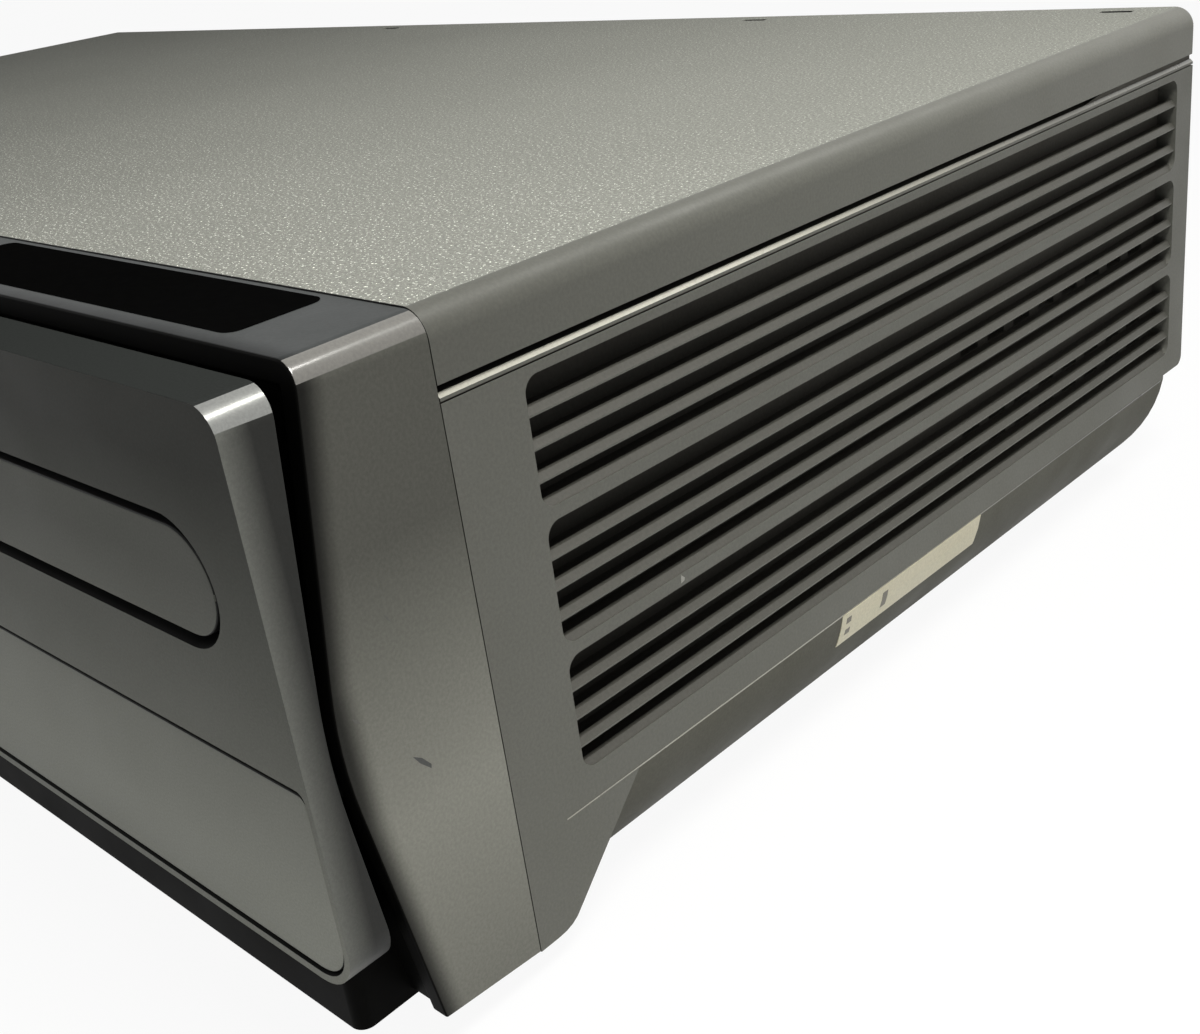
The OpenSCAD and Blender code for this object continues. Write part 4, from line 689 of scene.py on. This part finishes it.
def foot_strip(name, top, bottom, y0, y1, out, mat):
    """A thin film over the rolled foot, from drop top to drop bottom and from y0 to y1."""
    drops = [top] + [CREASE[1] - z for _, z in ROLL if top < CREASE[1] - z < bottom] + [bottom]
    verts = [on_foot(drop, y, lift) for drop in drops for y in (y0, y1) for lift in (0, out)]
    faces = []
    for a in range(0, 4 * len(drops) - 4, 4):
        b = a + 4
        faces += [(a + 1, b + 1, b + 3, a + 3), (a, a + 2, b + 2, b), (a, b, b + 1, a + 1),
                  (a + 2, a + 3, b + 3, b + 2)]
    e = 4 * len(drops) - 4
    faces += [(0, 1, 3, 2), (e, e + 2, e + 3, e + 1)]
    stuck_on(name, verts, faces, mat, "lower_cabinet")


STICKER = (116.8, -104.2, 200.6, -89.9)  # x and y of two corners
STICKER_T = 0.08
film("band_sticker", [(x, y, BAND_Z) for x, y in round_corners(*STICKER, 2.0)], (0, 0, STICKER_T),
     "sticker", "front_frame")

# dark strips that close the joint under the cover, towards the back: painted shade in the gap
JOINT_SHADE_Z = (LIP_Z - 0.3, COVER_Z + 0.1)
JOINT_SHADE_Y = (70.0, 82.0, BACK_Y - 0.4)  # its lower and its upper front corner, and its rear end
for side in (-1, 1):
    x = side * (SIDE_X - 0.6)
    film(f"joint_shade_{side}", [(x, JOINT_SHADE_Y[0], JOINT_SHADE_Z[0]), (x, JOINT_SHADE_Y[2], JOINT_SHADE_Z[0]),
                                (x, JOINT_SHADE_Y[2], JOINT_SHADE_Z[1]), (x, JOINT_SHADE_Y[1], JOINT_SHADE_Z[1])],
         (-side * 0.2, 0, 0), "shade", "lower_cabinet")

# a painted highlight along the crease, and the bare label on the rolled foot with three plain blocks
foot_strip("crease_line", -0.12, 0.2, -80.0, BACK_Y - 10.0, 0.03, "lip")
LABEL = (0.15, 6.8, -13.0, 31.8)  # from and to below the crease, and from and to in y
BLOCKS = [(1.3, 2.5, -11.6, -10.2), (3.8, 5.0, -11.4, -10.0), (1.6, 4.8, -0.6, 1.0)]
foot_strip("foot_label", *LABEL, 0.12, "label")
for i, block in enumerate(BLOCKS):
    foot_strip(f"foot_label_block_{i}", *block, 0.15, "ink")

SCUFF_T = 0.02
# scuffs of the right side, as outlines (y, z)
SCUFFS = [
    ("front_frame", "scuff", [(-102.9, 46.1), (-102.0, 44.6), (-100.5, 43.0), (-100.4, 43.6), (-101.6, 45.2)]),
    ("lower_cabinet", "scratch", [(-51.2, 47.6), (-50.5, 46.9), (-50.6, 46.5), (-51.4, 46.3)]),
    ("front_frame", "faint", [(-102.7, 66.3), (-102.4, 65.5), (-101.9, 64.8), (-102.2, 65.6)]),
    ("front_frame", "faint", [(-110.1, 55.6), (-109.7, 54.9), (-109.0, 54.4), (-109.4, 55.1)]),
]
for i, (node, mark, line) in enumerate(SCUFFS):
    film(f"scuff_{i}", [(SIDE_X, y, z) for y, z in line], (SCUFF_T, 0, 0), mark, node)

# ---------------------------------------------------------------- floor and light, in metres
FLOOR_HALF = 6
FLOOR_WHITE = 0.93  # how much of the floor's look is plain white; the rest takes the shadow
BACKDROP = 0.96
SKY_HEIGHT = (0.0, 0.9)
SKY_LIGHT = (0.06, 0.24)


def mixed_by_seen(g, lit, lit_out, seen, seen_out, share=1.0):
    """lit, or a share of seen for a ray that shows the background: one from the camera, or off or
    through a glossy piece."""
    path = g.add("ShaderNodeLightPath")
    total, out = path, "Is Camera Ray"
    for kind in ("Is Glossy Ray", "Is Transmission Ray"):
        top = g.add("ShaderNodeMath", operation="MAXIMUM")
        g.link(total, out, top, 0)
        g.link(path, kind, top, 1)
        total, out = top, "Value"
    part = g.add("ShaderNodeMath", operation="MULTIPLY")
    g.link(total, out, part, 0)
    part.inputs[1].default_value = share
    blend = g.add("ShaderNodeMixShader")
    g.link(part, "Value", blend, "Fac")
    g.link(lit, lit_out, blend, 1)
    g.link(seen, seen_out, blend, 2)
    g.link(blend, "Shader", g.out, "Surface")


floor_mesh = bpy.data.meshes.new("floor")
corners = [(x * FLOOR_HALF, y * FLOOR_HALF, 0) for x, y in ((-1, -1), (1, -1), (1, 1), (-1, 1))]
floor_mesh.from_pydata(corners, [], [(0, 1, 2, 3)])
floor = new_object("floor", floor_mesh)
g = Surface("floor_pale")
tone = g.ramp(g.noise(3.0), "Fac", [(MOST[0], (0.80, 0.80, 0.79, 1)), (MOST[1], (0.83, 0.83, 0.82, 1))])
g.link(tone, "Color", g.bsdf, "Base Color")
g.bsdf.inputs["Roughness"].default_value = 0.8
white = g.add("ShaderNodeEmission", Color=grey(1), Strength=1.0)
mixed_by_seen(g, g.bsdf, "BSDF", white, "Emission", FLOOR_WHITE)
paint(floor, g.owner)

# a studio that is dim at eye level and lighter overhead, and looks plain white
scene.world = bpy.data.worlds.new("studio")
g = Graph(scene.world, "ShaderNodeOutputWorld")
studio = g.add("ShaderNodeBackground", Color=(0.80, 0.82, 0.84, 1))
sky = g.remap(g.place("Generated"), "Z", SKY_HEIGHT, SKY_LIGHT)
g.link(sky, "Result", studio, "Strength")
backdrop = g.add("ShaderNodeBackground", Color=grey(BACKDROP))
mixed_by_seen(g, studio, "Background", backdrop, "Background")

PLAIN, PALE, WARM = (1.0, 1.0, 1.0), (1.0, 0.99, 0.95), (1.0, 0.98, 0.93)
# name, place, what it is turned to, size, power in watts and colour
LAMPS = [
    ("key", (0.36, -0.05, 0.46), (0.18, -0.04, 0.09), (0.14, 0.14), 2.2, PALE),
    ("key_back", (0.28, 0.30, 0.44), (0.18, -0.02, 0.09), (0.14, 0.14), 0.65, PALE),
    ("glint", (0.33, 0.065, 0.42), (0.21, -0.11, 0.096), (0.05, 0.05), 0.16, WARM),
    ("side_fill", (1.2, -0.1, 0.25), (0.2, 0.0, 0.04), (0.8, 0.4), 0.7, PLAIN),
    ("rear_right", (0.35, 1.15, 0.45), (0.1, 0.0, 0.09), (0.6, 0.4), 0.3, PLAIN),
    ("front_fill", (-0.5, -1.4, 0.7), (0.0, -0.1, 0.05), (1.0, 0.6), 0.6, PLAIN),
    ("left_fill", (-1.3, -0.4, 0.4), (-0.1, 0.0, 0.05), (0.8, 0.5), 2.0, PLAIN),
    ("rear_fill", (0.5, 1.3, 0.4), (0.0, 0.1, 0.05), (0.8, 0.5), 0.5, PLAIN),
]
for name, place, target, size, power, colour in LAMPS:
    data = bpy.data.lights.new(name, "AREA")
    data.shape = "RECTANGLE"
    data.size, data.size_y = size
    data.energy = power
    data.color = colour
    lamp = new_object(name, data)
    lamp.location = place
    lamp.rotation_euler = (Vector(target) - Vector(place)).to_track_quat("-Z", "Y").to_euler()
    lamp.visible_camera = False
